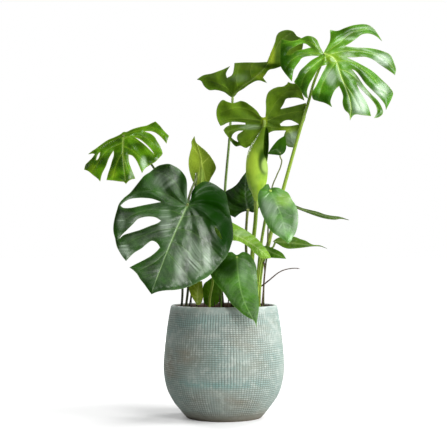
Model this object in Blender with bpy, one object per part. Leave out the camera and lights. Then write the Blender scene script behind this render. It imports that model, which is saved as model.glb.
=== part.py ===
"""Potted Swiss cheese plant in a round glazed pot, modelled piece by piece.

Units are metres, +Z is up. The origin is the centre of the pot's flat foot, on the surface it stands on.
Leaf outlines are drawn on a front elevation ruled in squares, as on squared paper: columns count to the
right and rows count down. SQUARE is the real size of one square on the plane through the pot's axis.
Each drawn point is carried along its sight line from the station point to the leaf's own depth, so the
leaves stand at their true places, some nearer and some farther than the pot's axis.
"""
import math

import bmesh
import bpy
from mathutils import Vector
from mathutils.geometry import delaunay_2d_cdt

# Driving dimensions
SQUARE = 0.0021
AXIS_COLUMN = 224.0
FLOOR_ROW = 416.7
STATION = Vector((0.0, -2.52, 0.3595))
GAP = 0.0003

POT_HEIGHT = 0.235
POT_RADIUS = 0.1268
POT_RIM_RADIUS = 0.1120
POT_FOOT_RADIUS = 0.0780
POT_WALL = 0.0085
POT_FLOOR = 0.0120
POT_STEPS = 40
POT_STEP = 0.016
SOIL_LEVEL = 0.2050
SOIL_RISE = 0.0060

BLADE_THICKNESS = 0.0009
RIB_HEIGHT = 0.0022
VEIN_HEIGHT = 0.0007
BIG_SPACING = 0.0180
SMALL_SPACING = 0.0130
LOBED_POINTS = 40
ON_RIB = 0.3
ON_VEIN = 0.1
ROOTED_LEVEL = 0.1750
STALK_SIDES = 8
STALK_STEP = 0.028
ROOT_SIDES = 6
ROOT_STEP = 0.012
JOINT_LENGTH = 0.014
JOINT_SQUARENESS = 0.8


def lift(column, row, depth):
    """The point at a depth behind the pot's axis that is drawn at a column and row of the elevation."""
    drawn = Vector(((column - AXIS_COLUMN) * SQUARE, 0.0, (FLOOR_ROW - row) * SQUARE))
    return STATION + (drawn - STATION) * ((depth - STATION.y) / -STATION.y)


# Leaves. attach is where the stalk meets the blade: column, row and depth. slope is how fast the blade
# recedes to the right and upward. arch bends both sides back from the midrib, bend bends the tip back,
# wave is the height of the ripple along the margin. under is True where the underside faces the front.
LEAVES = {
    "upper_right": dict(
        attach=(325, 53.5, -0.020), slope=(0.10, 0.78), arch=2.6, bend=-0.5, wave=0.0040, under=False,
        outline=[(323.5, 53), (325, 50.5), (327, 47), (330, 40), (330, 30), (337, 31), (345, 28), (355, 25),
                 (368, 25), (374, 29), (378, 34.5), (382, 41), (375, 35.5), (368, 33.5), (362, 34.5), (357, 38),
                 (350, 43), (344.5, 46.3), (355, 47.5), (370, 48.3), (382, 51), (390, 55), (394, 63), (396, 70),
                 (395, 75), (391, 72), (382, 66), (372, 59), (365, 56.8), (355, 57.2), (346.5, 57.3), (360, 64),
                 (372, 71), (382, 80), (390, 88), (393, 93), (391, 100), (388, 106), (386, 110), (385, 105),
                 (380, 98), (372, 90), (365, 83), (360, 76), (355, 70.5), (351.5, 69), (358, 77), (364, 86),
                 (371, 94), (378, 101), (382, 108), (383, 113), (379, 117), (374, 118), (377, 112), (376, 106),
                 (371, 99), (364, 92), (356.5, 84), (360, 92), (364, 98), (368, 106), (371, 116), (362, 115),
                 (355, 114.5), (351.5, 117.5), (350, 120.5), (349, 114), (344.5, 109.5), (342.5, 103), (343, 96),
                 (341, 90), (339, 86), (335, 90), (332, 96), (330.5, 102), (332, 107), (325, 103), (318, 101),
                 (313, 99), (312, 93), (316, 86), (320, 78), (324, 70), (327, 64.5), (320, 67), (314, 76),
                 (309, 85), (307, 92), (308, 98.5), (305, 97), (302, 93), (299, 88), (294, 82), (297, 77),
                 (300, 71), (305, 66), (312, 60), (319.5, 56), (310, 56), (302, 58), (299, 62), (296, 66),
                 (293.5, 71), (292.5, 77), (292, 81.5), (288, 77), (284, 72), (281, 67), (280, 60), (280, 50),
                 (281, 39), (290, 41), (296, 40.5), (302, 38), (307, 36), (313, 37), (317, 40), (320, 47)],
        holes=[[(286, 55), (289, 50), (294, 47), (300, 44), (305, 43.5), (311, 47.5), (303, 49.5), (296, 51),
                (290, 55)]],
        midrib=[(325, 53.5), (334, 58), (338, 66), (341, 76), (345, 86), (349, 97), (351, 108), (350.3, 118)],
        veins=[[(327, 52), (338, 44), (352, 33), (368, 28.5)],
               [(329, 55), (345, 51), (365, 52), (385, 58.5), (393, 68)],
               [(336, 61), (352, 62.3), (370, 75), (386, 94)],
               [(339, 69), (351, 74), (366, 90), (379, 109)],
               [(342, 80), (352, 94), (360, 108)],
               [(322, 51), (311, 42.5), (300, 40.8), (284, 43.5)],
               [(323, 54), (305, 53.5), (292, 60), (286, 68)],
               [(329, 56), (318, 62), (306, 74), (301, 86)],
               [(336, 62), (328, 74), (322, 86), (319, 97)]]),
    "top": dict(
        attach=(232.5, 95.5, 0.180), slope=(0.10, -1.0), arch=1.2, bend=0.0, wave=0.003, under=True,
        outline=[(231.5, 97), (224, 92), (216, 90), (209, 90), (204, 86), (201, 81), (197, 79.5), (203, 75.5),
                 (212, 73.5), (219, 71), (223, 69.5), (230, 66), (226, 74), (227, 78), (232, 75), (234, 68),
                 (234.5, 63), (245, 62.5), (258, 62.5), (267, 62), (271, 52), (275, 42), (277, 35), (280, 32),
                 (288, 30), (294, 32), (297, 36), (302, 39), (303, 46), (299, 55), (291, 61), (283, 65.5),
                 (275, 68.5), (269, 70), (265, 75), (263, 77.5), (267, 83), (258, 80.5), (250, 84), (243, 89),
                 (238, 92), (233.5, 97)],
        holes=[],
        midrib=[(232.5, 95.5), (242, 86), (252, 79), (264, 68), (272, 55), (280, 41), (290, 33)],
        veins=[[(233, 94), (224, 86), (213, 81), (204, 80)], [(238, 89.5), (236, 78), (238, 66)],
               [(252, 79), (250, 71), (252, 64)]]),
    "upper_middle": dict(
        attach=(263.8, 119.5, 0.010), slope=(0.25, -0.50), arch=1.5, bend=0.0, wave=0.003, under=True,
        outline=[(263, 117.5), (261, 116.5), (257, 111), (250, 105), (245, 102), (241, 101), (236, 102.5),
                 (232, 103), (227, 101.5), (223, 100), (220, 102), (217, 108), (216.5, 115), (218, 121),
                 (220.5, 126), (223.5, 125), (226, 123.5), (231, 122), (238, 122), (245.5, 122.8), (245.5, 124.6),
                 (236, 124.6), (229, 125.6), (225.5, 127.6), (223.5, 130), (225, 133), (228, 137), (230, 140),
                 (233, 144), (236, 146.5), (240, 145.7), (246, 148), (250, 146), (253, 146), (256, 153),
                 (259, 161), (262, 152), (265, 141), (268, 134), (272, 131.5), (280, 130.5), (286, 130.5),
                 (284, 136), (287, 146), (293, 147.5), (297, 138), (300, 127), (304, 122), (306, 115),
                 (306, 103), (300, 104.5), (290, 107), (280.5, 109), (284, 103), (286, 99), (290, 98), (298, 98),
                 (304.5, 100.5), (302, 93), (300, 88), (297, 84), (292, 83.5), (288, 82), (287, 84), (283, 86.5),
                 (278, 87), (271, 90), (268, 93), (266, 100), (266, 108), (265.5, 117)],
        holes=[[(231.5, 137.5), (233, 134), (238, 131), (243.5, 130.7), (240, 133), (238, 134.5), (237, 138),
                (238.3, 142), (235, 140.5)],
               [(280, 124), (285, 120.5), (290, 120), (296, 122.5), (299, 124.5), (290, 126), (281, 126)]],
        midrib=[(263.8, 119.5), (262.5, 130), (260.5, 142), (259.2, 156)],
        veins=[[(261, 118.5), (250, 110), (235, 108), (221, 112)], [(261.5, 121), (248, 119), (232, 118.5), (221, 121)],
               [(262, 126), (250, 127.5), (236, 129), (228, 132)], [(261.5, 131), (254, 135), (246, 142)],
               [(266, 118.5), (275, 103), (286, 92), (297, 90)], [(266, 121), (280, 115), (303, 111)],
               [(265, 126), (280, 128.7), (289, 132), (292, 143)]]),
    "new_roll": dict(
        attach=(256, 201, -0.042), slope=(0.0, 0.0), arch=0.0, bend=0.0, wave=0.0, under=True,
        outline=[], holes=[], midrib=[], veins=[]),
    "small_upper": dict(
        attach=(280, 152.5, -0.004), slope=(0.1, 0.35), arch=5.0, bend=0.0, wave=0.001, under=False,
        outline=[(267.5, 154), (272, 147), (278, 140), (285, 135.5), (286, 142), (286, 149), (284, 153),
                 (281, 155), (275, 154.8)],
        holes=[], midrib=[(280, 152.5), (276, 149.5), (271, 151.5)], veins=[]),
    "upper_left": dict(
        attach=(123.5, 135.5, -0.020), slope=(0.05, 0.90), arch=2.5, bend=-0.4, wave=0.0035, under=False,
        outline=[(123.5, 132), (121, 134), (115, 137), (108, 140), (102, 144), (96, 148.5), (92, 151.2),
                 (88.3, 154.2), (93.2, 153.6), (94.8, 154.2), (92, 158.2), (89, 161.2), (85.6, 164.8),
                 (84.2, 169.5), (88, 171), (93, 175), (98, 179), (100.2, 181.5), (102, 174),
                 (106, 166), (109, 158), (113.5, 150.5), (113.8, 155), (112, 161), (110, 168), (108, 174),
                 (106.5, 180), (113, 180.5), (120, 181.5), (124, 182), (126, 184), (128, 181.5), (131, 179.5),
                 (135.2, 178.5), (133, 173), (131, 168), (129, 162), (128.5, 154.5), (132, 155.5), (136, 160),
                 (139, 166), (142, 173), (145, 168.5), (150, 165), (155, 162), (160, 157), (162.5, 154),
                 (162, 151), (160, 146), (157, 141), (155, 137.5), (151, 134), (144, 131.5), (149, 131),
                 (154, 132), (160, 136), (166.5, 143.5), (167.5, 140), (169, 136), (164, 131), (160, 126),
                 (155.5, 121.5), (152, 123), (147, 125.5), (140, 127), (133, 129), (126, 132)],
        holes=[[(134.4, 137.0), (140, 139.4), (146, 144.0), (151.5, 149.8), (154.5, 154.5), (150.6, 150.7),
                (145.2, 145.4), (139.4, 140.8)],
               [(100, 152), (99.6, 155.5), (97.6, 159.6), (96.2, 160.4), (96.8, 157), (98.3, 154)]],
        midrib=[(123.5, 135.5), (123, 145), (123, 157), (124, 168), (125.5, 180)],
        veins=[[(125, 134.5), (137, 131), (151, 127.5), (163, 135)], [(124, 139), (135, 135.5), (150, 140), (159, 152)],
               [(123.5, 146), (133, 151), (146, 163)], [(122, 136.5), (110, 142), (99, 148.5)],
               [(122.5, 143), (108, 150), (98, 163), (92, 172)], [(123, 152), (117, 163), (113, 178)],
               [(124, 157), (127, 167), (131, 177)]]),
    "front_left": dict(
        attach=(187.5, 205, -0.100), slope=(0.15, 0.35), arch=1.6, bend=-0.3, wave=0.0035, under=False,
        outline=[(188.5, 202.5), (190.5, 199), (192, 192), (195, 187), (199, 184), (203, 181.8), (208, 181.8),
                 (214, 184), (220, 188), (225, 192), (227, 198), (228, 205), (230, 213), (232, 222), (233, 230),
                 (233, 238), (231, 245), (229, 251), (226, 257), (221, 263), (215, 270), (211, 274), (206, 278),
                 (200, 281), (193, 285), (185, 288), (175, 290), (165, 290.5), (157, 292), (151.5, 294.3),
                 (149, 291), (144, 284), (140, 279), (137, 274), (133, 270), (129.5, 267.5), (136, 264),
                 (144, 260), (151, 256), (157, 251), (160, 247.5), (157, 243), (152, 240.8), (148, 243),
                 (142, 248), (134, 253), (126, 261), (122, 256), (119, 251), (117, 247), (115, 238), (113.5, 232),
                 (113.5, 225), (115, 217), (117, 210), (119, 204), (124, 198), (130, 193), (135, 187), (139, 182),
                 (144, 176), (150, 172), (153, 169.5), (158, 166), (163, 164.5), (169, 164), (174, 166),
                 (179, 169), (183, 173), (186, 178), (187, 184), (187, 190), (187.2, 198)],
        holes=[[(119.5, 239), (121, 236), (127, 230), (133, 224), (138, 219), (144, 217), (150, 216.5),
                (156, 217.5), (161, 220.7), (158, 223), (150, 226), (140, 230), (130, 233), (123, 235.5)],
               [(120.5, 205.5), (125, 201.5), (130, 199), (137, 198), (145, 198), (153, 199), (161, 202),
                (150, 204), (140, 206), (130, 208), (122.5, 207.5)],
               [(214.3, 226), (218, 229.6), (221.3, 235.4), (221.8, 240), (218.4, 236.6), (215.2, 231.4)]],
        midrib=[(187.5, 205), (183, 215), (177, 228), (172, 240), (167, 252), (162, 265), (157, 278), (152.5, 291)],
        veins=[[(190, 203), (200, 193), (211, 190), (221, 196)], [(187, 207), (200, 203), (216, 207), (228, 218)],
               [(182.5, 217), (198, 216), (212, 222), (229, 240)], [(177, 228.5), (192, 232), (208, 244), (221, 258)],
               [(172, 240.5), (184, 248), (198, 262), (205, 275)], [(167, 252.5), (178, 264), (188, 277), (192, 283)],
               [(186.5, 202), (178, 186), (166, 175), (155, 172)], [(186, 206.5), (170, 196), (150, 190.5), (134, 193)],
               [(182.5, 214.5), (165, 209.5), (140, 212), (119, 223)], [(176.5, 228.5), (160, 230), (140, 237), (122, 246)],
               [(167.5, 251), (155, 262), (140, 270)]]),
    "left_heart": dict(
        attach=(201, 184, -0.020), slope=(0.15, -0.30), arch=6.0, bend=0.6, wave=0.001, under=True,
        outline=[(194.5, 136), (191.5, 141.5), (191.7, 146), (190, 153), (188.7, 160), (189, 168), (190.5, 175),
                 (193, 182), (196, 188), (199, 189), (201, 185.5), (204, 188.5), (208, 185), (211, 178), (214, 173),
                 (216, 168), (215, 164), (211, 157), (206, 151), (200, 146), (196, 142)],
        holes=[], midrib=[(201, 184), (201.5, 172), (201, 160), (198, 148), (195, 139)], veins=[]),
    "dark_middle": dict(
        attach=(248, 209.5, 0.036), slope=(0.1, 0.25), arch=2.0, bend=0.3, wave=0.002, under=False,
        outline=[(246, 172), (242, 177), (237, 184), (232, 188), (227, 190.5), (223, 194), (220, 201), (222, 209),
                 (228, 214), (235, 217.5), (240, 213.5), (243, 212), (248, 211), (253, 212.5), (258, 209),
                 (262, 202), (260, 194), (255, 187), (250, 179)],
        holes=[], midrib=[(248, 209.5), (246, 199), (245.5, 188), (246, 176)], veins=[]),
    "middle_heart": dict(
        attach=(270.5, 190.5, -0.082), slope=(0.10, 0.40), arch=5.0, bend=-0.5, wave=0.0015, under=False,
        outline=[(270.2, 188.5), (268.5, 184), (266, 184.5), (262.5, 188), (260, 190), (258, 195), (258, 202),
                 (261, 212), (264, 219), (268, 227), (272, 232), (278, 236), (284, 240), (288, 243.5), (291, 241),
                 (293, 237), (295, 234), (297, 228), (298, 222), (298, 214), (296, 206), (292, 200), (288, 193),
                 (283, 190), (279, 188), (274, 187.5)],
        holes=[], midrib=[(270.5, 190.5), (275, 200), (280, 212), (284, 226), (287.5, 241)], veins=[]),
    "right_high": dict(
        attach=(287.5, 204.5, -0.006), slope=(0.2, 2.6), arch=3.0, bend=0.0, wave=0.001, under=False,
        outline=[(285, 203), (291, 203.5), (297, 206), (303, 208.3), (310, 210), (318, 212), (325, 214.5),
                 (333, 216), (339, 216.7), (349, 220), (340, 218.7), (336, 219.5), (330, 219.2), (324, 218.2),
                 (317, 216.2), (310, 213.7), (303, 211), (297, 208.6), (290, 206.5)],
        holes=[], midrib=[(287.5, 204.5), (303, 209.5), (318, 214), (333, 217.7), (343, 218.5)], veins=[]),
    "right_low": dict(
        attach=(275.5, 241.5, -0.020), slope=(0.1, 1.9), arch=3.0, bend=0.0, wave=0.001, under=False,
        outline=[(273, 241.5), (276, 239), (281, 237), (288, 236.3), (295, 237), (300, 239), (306, 241),
                 (310, 243.5), (313, 244.8), (320, 245.5), (327, 248.5), (320, 246.3), (312, 246.3), (303, 247.5),
                 (295, 248.3), (288, 248.5), (283, 247), (278, 244)],
        holes=[], midrib=[(275.5, 241.5), (287, 242.5), (300, 244), (311, 245.3), (320, 245.9)], veins=[]),
    "right_small": dict(
        attach=(265.5, 248.5, -0.064), slope=(0.1, 0.8), arch=3.0, bend=0.0, wave=0.001, under=False,
        outline=[(262, 246.5), (266, 246), (272, 248), (279, 251), (283, 254), (286, 258.7), (280, 258.2),
                 (272, 257.7), (266, 256), (262, 251)],
        holes=[], midrib=[(265.5, 248.5), (272, 252.5), (279, 255.5), (284, 257.7)], veins=[]),
    "lime": dict(
        attach=(214.5, 226, -0.049), slope=(-0.35, 0.45), arch=5.0, bend=0.0, wave=0.001, under=False,
        outline=[(213.2, 224), (213.6, 219.8), (217, 217), (222, 217.6), (228, 220.2), (234, 223.5), (240, 226.8),
                 (246, 230.2), (252, 234.3), (257.5, 239), (262.5, 244.4), (266.6, 249.6), (269.4, 254),
                 (271.2, 258), (266, 258.6), (261, 258), (256.5, 254.6), (252.5, 250.8), (248.5, 247),
                 (244, 244), (239.5, 241.6), (234, 240.6), (228, 241), (222, 240.6), (217, 237.2), (213.6, 231.5)],
        holes=[], midrib=[(214.5, 226), (225, 230), (236, 234.8), (247, 240.8), (258, 248.3), (268, 256)],
        veins=[]),
    "lower_front": dict(
        attach=(237, 257, -0.084), slope=(0.10, 0.48), arch=3.5, bend=-0.2, wave=0.0015, under=False,
        outline=[(236.5, 255), (231.5, 252), (225, 254), (219.5, 261), (214.5, 267.5), (210.5, 273), (212.5, 278.5),
                 (218, 286),
                 (224, 293), (230, 302), (236, 308), (244, 315), (250, 318.5), (254, 320.5), (256.5, 327.5),
                 (257, 320), (258.5, 312), (259, 304), (258.5, 296), (257.5, 285), (257, 275), (256, 266),
                 (253, 259), (249, 254), (243, 252)],
        holes=[], midrib=[(237, 257), (237.5, 268), (239, 280), (241.5, 293), (247, 308), (255.5, 323)], veins=[]),
    "low_olive": dict(
        attach=(197.5, 302, -0.062), slope=(0.2, 0.2), arch=4.0, bend=0.0, wave=0.001, under=False,
        outline=[(189, 289), (190, 285), (196, 282), (202, 281), (203, 290), (202.5, 300), (200, 304.5),
                 (197, 305), (192, 297)],
        holes=[], midrib=[(197.5, 302), (197.5, 294), (198.5, 285)], veins=[]),
    "low_dark": dict(
        attach=(210.5, 304, -0.022), slope=(0.1, 0.2), arch=4.0, bend=0.0, wave=0.001, under=False,
        outline=[(204, 284), (208, 280.5), (214, 276), (219, 285), (221, 295), (218, 303), (211, 306.5),
                 (205, 304), (203, 295)],
        holes=[], midrib=[(210.5, 304), (211.5, 294), (213, 280)], veins=[]),
}

# The newest leaf's scroll, from its base up: row, left and right column, and the turns, in degrees, where
# its outer and its inner edge lie. 0 is to the right and -90 is to the front.
ROLL_RINGS = [(201, 254.3, 257.7, -10, -340), (195, 252.6, 260.2, -15, -345), (186, 248.6, 262.6, -20, -350),
              (176, 246.5, 264.3, -28, -355), (165, 246.3, 266.2, -45, -358), (155, 247.8, 267.6, -70, -362),
              (146, 251, 268.4, -78, -362), (138, 256, 268.4, -84, -362), (131, 260.5, 268.2, -86, -362),
              (127.5, 262.8, 267.2, -80, -362)]
ROLL_STEPS = 14
ROLL_INWARD = 0.26

# Stalks, from the soil up to the blade: column, row and depth of each point, then the radius at both ends.
STALKS = {
    "upper_right": dict(route=[(257.5, 312, 0.014), (258.5, 285, 0.010), (262.5, 260, 0.004), (268, 245, 0.0),
                               (271.5, 231, 0.0), (283, 190, -0.010), (288, 172, -0.016), (299, 133, -0.030),
                               (303.5, 118, -0.032), (309, 100, -0.028), (314, 82, -0.018)],
                        radii=(0.0062, 0.0027)),
    "top": dict(route=[(221, 312, 0.045), (221.5, 250, 0.070), (225, 190, 0.110), (227, 165, 0.130),
                       (229.3, 140, 0.148), (231, 115, 0.164)], radii=(0.0040, 0.0026)),
    "upper_middle": dict(route=[(251.5, 312, 0.012), (252.5, 250, 0.002), (256.5, 210, -0.004),
                                (260.5, 160, -0.010), (262.5, 137, -0.014)], radii=(0.0050, 0.0029)),
    "new_roll": dict(route=[(249.7, 312, -0.027), (251, 280, -0.034), (253, 245, -0.038), (255.3, 222, -0.041)],
                     radii=(0.0058, 0.0040)),
    "small_upper": dict(route=[(263.5, 312, -0.006), (263.8, 285, -0.012), (265.8, 264, -0.014), (267.3, 252, -0.034),
                               (268.5, 220, -0.030), (271.5, 190, -0.010), (276.5, 176, -0.004),
                               (280.3, 167.5, 0.002), (281.8, 160.5, 0.006)], radii=(0.0022, 0.0014)),
    "upper_left": dict(route=[(181.3, 312, 0.010), (182.5, 289, 0.010), (181, 255, 0.012), (174, 212, 0.010),
                              (160, 178, 0.004), (143, 154, 0.004)], radii=(0.0026, 0.0024)),
    "front_left": dict(route=[(185.5, 312, -0.049), (188, 289, -0.052), (190, 255, -0.055), (191.5, 225, -0.052),
                              (194, 200, -0.047), (196, 182, -0.045), (196.4, 173.5, -0.057),
                              (195.5, 180, -0.068), (192.4, 187, -0.074), (189.9, 194, -0.083)],
                       radii=(0.0026, 0.0025)),
    "left_heart": dict(route=[(188.5, 312, -0.010), (191, 298, -0.014), (194, 270, -0.022), (197, 235, -0.030),
                              (199.5, 203, -0.036)], radii=(0.0022, 0.0018)),
    "dark_middle": dict(route=[(246, 312, 0.032), (246.5, 270, 0.034), (246, 236, 0.040)], radii=(0.0036, 0.0028)),
    "middle_heart": dict(route=[(255.3, 312, -0.012), (257.5, 280, -0.024), (261, 245, -0.046), (266, 215, -0.062)],
                         radii=(0.0040, 0.0028)),
    "right_high": dict(route=[(253.5, 312, 0.034), (258, 280, 0.030), (265, 255, 0.024), (270.5, 235, 0.022),
                              (278, 215, 0.018)], radii=(0.0034, 0.0026)),
    "right_low": dict(route=[(259.5, 312, -0.028), (260.5, 285, -0.026), (263.5, 263, -0.018), (269, 249.5, -0.016)],
                      radii=(0.0024, 0.0018)),
    "right_small": dict(route=[(256.5, 312, -0.046), (258.5, 285, -0.052), (261, 262, -0.054)],
                        radii=(0.0024, 0.0018)),
    "lime": dict(route=[(209.5, 312, -0.055), (209.5, 300, -0.055), (213, 280, -0.052), (213.5, 252, -0.041)],
                 radii=(0.0030, 0.0022)),
    "lower_front": dict(route=[(233.5, 312, -0.050), (235.5, 285, -0.058)], radii=(0.0028, 0.0022)),
    "low_olive": dict(route=[(197, 312, -0.050), (197.3, 309, -0.052)], radii=(0.0020, 0.0016)),
    "low_dark": dict(route=[(210, 312, -0.018), (210, 311, -0.016)], radii=(0.0020, 0.0016)),
}

# Aerial roots, from their seat on a stalk to their tip in the soil or in the air.
ROOTS = {
    "aerial_root_long": dict(route=[(263.8, 262.3, -0.0212), (264.3, 264.5, -0.027), (264.8, 272, -0.034), (263.6, 288, -0.032),
                                    (261.5, 312, -0.030)], radii=(0.0016, 0.0014), rooted=True),
    "aerial_root_arching": dict(route=[(260.65, 286.3, 0.0058), (264, 284.3, -0.002), (270, 279.5, -0.008),
                                       (278, 273, -0.010), (285, 269.7, -0.010), (293, 268.3, -0.008),
                                       (300, 268.6, -0.006)], radii=(0.0018, 0.0009),
                                rooted=False),
}

COLOURS = {
    "pot": (0.33, 0.42, 0.40), "soil": (0.045, 0.028, 0.018), "root": (0.10, 0.055, 0.030),
    "upper_right": (0.06, 0.22, 0.02), "top": (0.07, 0.14, 0.02), "upper_middle": (0.08, 0.16, 0.02),
    "new_roll": (0.32, 0.52, 0.05), "small_upper": (0.02, 0.09, 0.01), "upper_left": (0.06, 0.20, 0.01),
    "front_left": (0.03, 0.09, 0.03), "left_heart": (0.13, 0.22, 0.03), "dark_middle": (0.01, 0.04, 0.015),
    "middle_heart": (0.08, 0.24, 0.05), "right_high": (0.05, 0.13, 0.02), "right_low": (0.06, 0.17, 0.01),
    "right_small": (0.03, 0.12, 0.01), "lime": (0.18, 0.42, 0.05), "lower_front": (0.05, 0.17, 0.04),
    "low_olive": (0.16, 0.22, 0.02), "low_dark": (0.02, 0.10, 0.01), "stalk": (0.20, 0.32, 0.05),
}


def clear_scene():
    for thing in list(bpy.data.objects):
        bpy.data.objects.remove(thing, do_unlink=True)


def material(name, colour, roughness):
    """A plain Principled material."""
    made = bpy.data.materials.new(name)
    made.use_nodes = True
    shader = made.node_tree.nodes["Principled BSDF"]
    shader.inputs["Base Color"].default_value = (*colour, 1.0)
    shader.inputs["Roughness"].default_value = roughness
    shader.inputs["Metallic"].default_value = 0.0
    return made


def new_object(name, verts, faces, finish):
    """A named object from vertices and faces, shaded smooth but for its sharp edges."""
    mesh = bpy.data.meshes.new(name)
    mesh.from_pydata([tuple(v) for v in verts], [], faces)
    mesh.validate()
    mesh.shade_smooth()
    mesh.set_sharp_from_angle(angle=math.radians(50))
    mesh.materials.append(finish)
    made = bpy.data.objects.new(name, mesh)
    bpy.context.scene.collection.objects.link(made)
    return made


def smooth_route(points, step):
    """Points about a step apart on a Catmull-Rom curve through the given points."""
    ends = [points[0] * 2 - points[1]] + list(points) + [points[-1] * 2 - points[-2]]
    curve = []
    for i in range(1, len(ends) - 2):
        before, start, end, after = ends[i - 1:i + 3]
        count = max(1, round((end - start).length / step))
        for j in range(count):
            t = j / count
            curve.append(0.5 * (2 * start + (end - before) * t + (2 * before - 5 * start + 4 * end - after) * t * t
                                + (3 * start - before - 3 * end + after) * t ** 3))
    curve.append(points[-1].copy())
    return curve


def tube(points, radii, sides):
    """Vertices and faces of a closed tube along points, with a radius at each."""
    verts = []
    faces = []
    across = None
    for i, point in enumerate(points):
        along = (points[min(i + 1, len(points) - 1)] - points[max(i - 1, 0)]).normalized()
        if across is None:
            across = along.orthogonal().normalized()
        across = (across - along * across.dot(along)).normalized()
        side = along.cross(across)
        for j in range(sides):
            turn = 2 * math.pi * j / sides
            verts.append(point + (across * math.cos(turn) + side * math.sin(turn)) * radii[i])
    for i in range(len(points) - 1):
        for j in range(sides):
            low = i * sides + j
            low_next = i * sides + (j + 1) % sides
            faces.append((low, low_next, low_next + sides, low + sides))
    faces.append(tuple(reversed(range(sides))))
    faces.append(tuple(range(len(verts) - sides, len(verts))))
    return verts, faces


def inside(point, loops):
    """True where a drawn point lies inside the loops, counted by crossings."""
    crossings = 0
    for loop in loops:
        for i, (x1, y1) in enumerate(loop):
            x2, y2 = loop[i - 1]
            if (y1 > point[1]) != (y2 > point[1]) and point[0] < (x2 - x1) * (point[1] - y1) / (y2 - y1) + x1:
                crossings += 1
    return crossings % 2 == 1


def distance_to_line(point, line):
    """The shortest drawn distance from a point to an open line, and how far along it that is."""
    best = (1e9, 0.0)
    run = 0.0
    for (x1, y1), (x2, y2) in zip(line, line[1:]):
        dx = x2 - x1
        dy = y2 - y1
        length = math.hypot(dx, dy)
        t = max(0.0, min(1.0, ((point[0] - x1) * dx + (point[1] - y1) * dy) / length ** 2))
        gap = math.hypot(point[0] - x1 - dx * t, point[1] - y1 - dy * t)
        if gap < best[0]:
            best = (gap, run + length * t)
        run += length
    return best


def divided(line, spacing, closed):
    """The line's own points, with its long stretches divided."""
    result = []
    ends = list(zip(line, line[1:] + line[:1])) if closed else list(zip(line, line[1:]))
    for (x1, y1), (x2, y2) in ends:
        count = max(1, math.ceil(math.hypot(x2 - x1, y2 - y1) / spacing - 0.25))
        for j in range(count):
            result.append((x1 + (x2 - x1) * j / count, y1 + (y2 - y1) * j / count))
    if not closed:
        result.append(line[-1])
    return result


def flat_triangles(leaf, spacing):
    """Triangles of the drawn blade, with its ribs as edges and a staggered grid of points between."""
    loops = [divided(loop, spacing, True) for loop in [leaf["outline"]] + leaf["holes"]]
    ribs = [divided(line, spacing, False) for line in [leaf["midrib"]] + leaf["veins"]]
    points = []
    edges = []
    for loop in loops:
        first = len(points)
        points += loop
        edges += [(first + i, first + (i + 1) % len(loop)) for i in range(len(loop))]
    for rib in ribs:
        first = len(points)
        points += rib
        edges += [(first + i, first + i + 1) for i in range(len(rib) - 1)]
    columns = [p[0] for p in loops[0]]
    rows = [p[1] for p in loops[0]]
    row = min(rows)
    odd = False
    fixed = list(points)
    while row < max(rows):
        column = min(columns) + (spacing / 2 if odd else 0.0)
        while column < max(columns):
            spot = (column, row)
            near = min(math.hypot(column - p[0], row - p[1]) for p in fixed)
            if near > spacing * 0.6 and inside(spot, loops):
                points.append(spot)
            column += spacing
        row += spacing * math.sqrt(0.75)
        odd = not odd
    found = delaunay_2d_cdt([Vector(p) for p in points], edges, [], 0, 1e-5)
    flat = [tuple(v) for v in found[0]]
    kept = []
    for face in found[2]:
        centre = (sum(flat[i][0] for i in face) / 3, sum(flat[i][1] for i in face) / 3)
        if inside(centre, loops):
            kept.append(tuple(face))
    return flat, kept


def blade_depth(leaf, point):
    """How far behind the pot's axis the blade lies at a drawn point."""
    column, row, depth = leaf["attach"]
    right = (point[0] - column) * SQUARE
    up = (row - point[1]) * SQUARE
    away, along = distance_to_line(point, leaf["midrib"])
    away *= SQUARE
    along *= SQUARE
    turn = math.atan2(up, right)
    ripple = leaf["wave"] * math.sin(9 * turn + 60 * away) * min(1.0, away / 0.06)
    sense = -1.0 if leaf["under"] else 1.0
    arched = sense * leaf["arch"] * away ** 2 / (1.0 + 4.0 * away)
    return depth + leaf["slope"][0] * right + leaf["slope"][1] * up + arched + leaf["bend"] * along ** 2 + ripple


def blade_mesh(leaf, spacing):
    """Vertices and faces of a blade: the same triangles on both faces, thicker along its ribs."""
    flat, triangles = flat_triangles(leaf, spacing / SQUARE)
    used = sorted({i for face in triangles for i in face})
    index = {old: new for new, old in enumerate(used)}
    flat = [flat[i] for i in used]
    triangles = [tuple(index[i] for i in face) for face in triangles]
    middle = [lift(p[0], p[1], blade_depth(leaf, p)) for p in flat]
    normals = [Vector() for _ in middle]
    sound = []
    for a, b, c in triangles:
        normal = (middle[b] - middle[a]).cross(middle[c] - middle[a])
        if normal.y > 0:
            a, b = b, a
            normal = -normal
        sound.append((a, b, c))
        for i in (a, b, c):
            normals[i] += normal
    rib_length = sum(math.dist(p, q) for p, q in zip(leaf["midrib"], leaf["midrib"][1:]))
    front = []
    back = []
    for point, centre, normal in zip(flat, middle, normals):
        away, along = distance_to_line(point, leaf["midrib"])
        half = BLADE_THICKNESS / 2
        if away < ON_RIB:
            half += RIB_HEIGHT / 2 * (1.0 - 0.75 * along / rib_length)
        elif any(distance_to_line(point, vein)[0] < ON_VEIN for vein in leaf["veins"]):
            half += VEIN_HEIGHT / 2
        offset = normal.normalized() * half
        front.append(centre + offset)
        back.append(centre - offset)
    count = len(front)
    faces = list(sound) + [(c + count, b + count, a + count) for a, b, c in sound]
    directed = {(a, b) for face in sound for a, b in zip(face, face[1:] + face[:1])}
    for a, b in sorted(directed):
        if (b, a) not in directed:
            faces.append((b, a, a + count))
            faces.append((b, a + count, b + count))
    return front + back, faces


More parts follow.
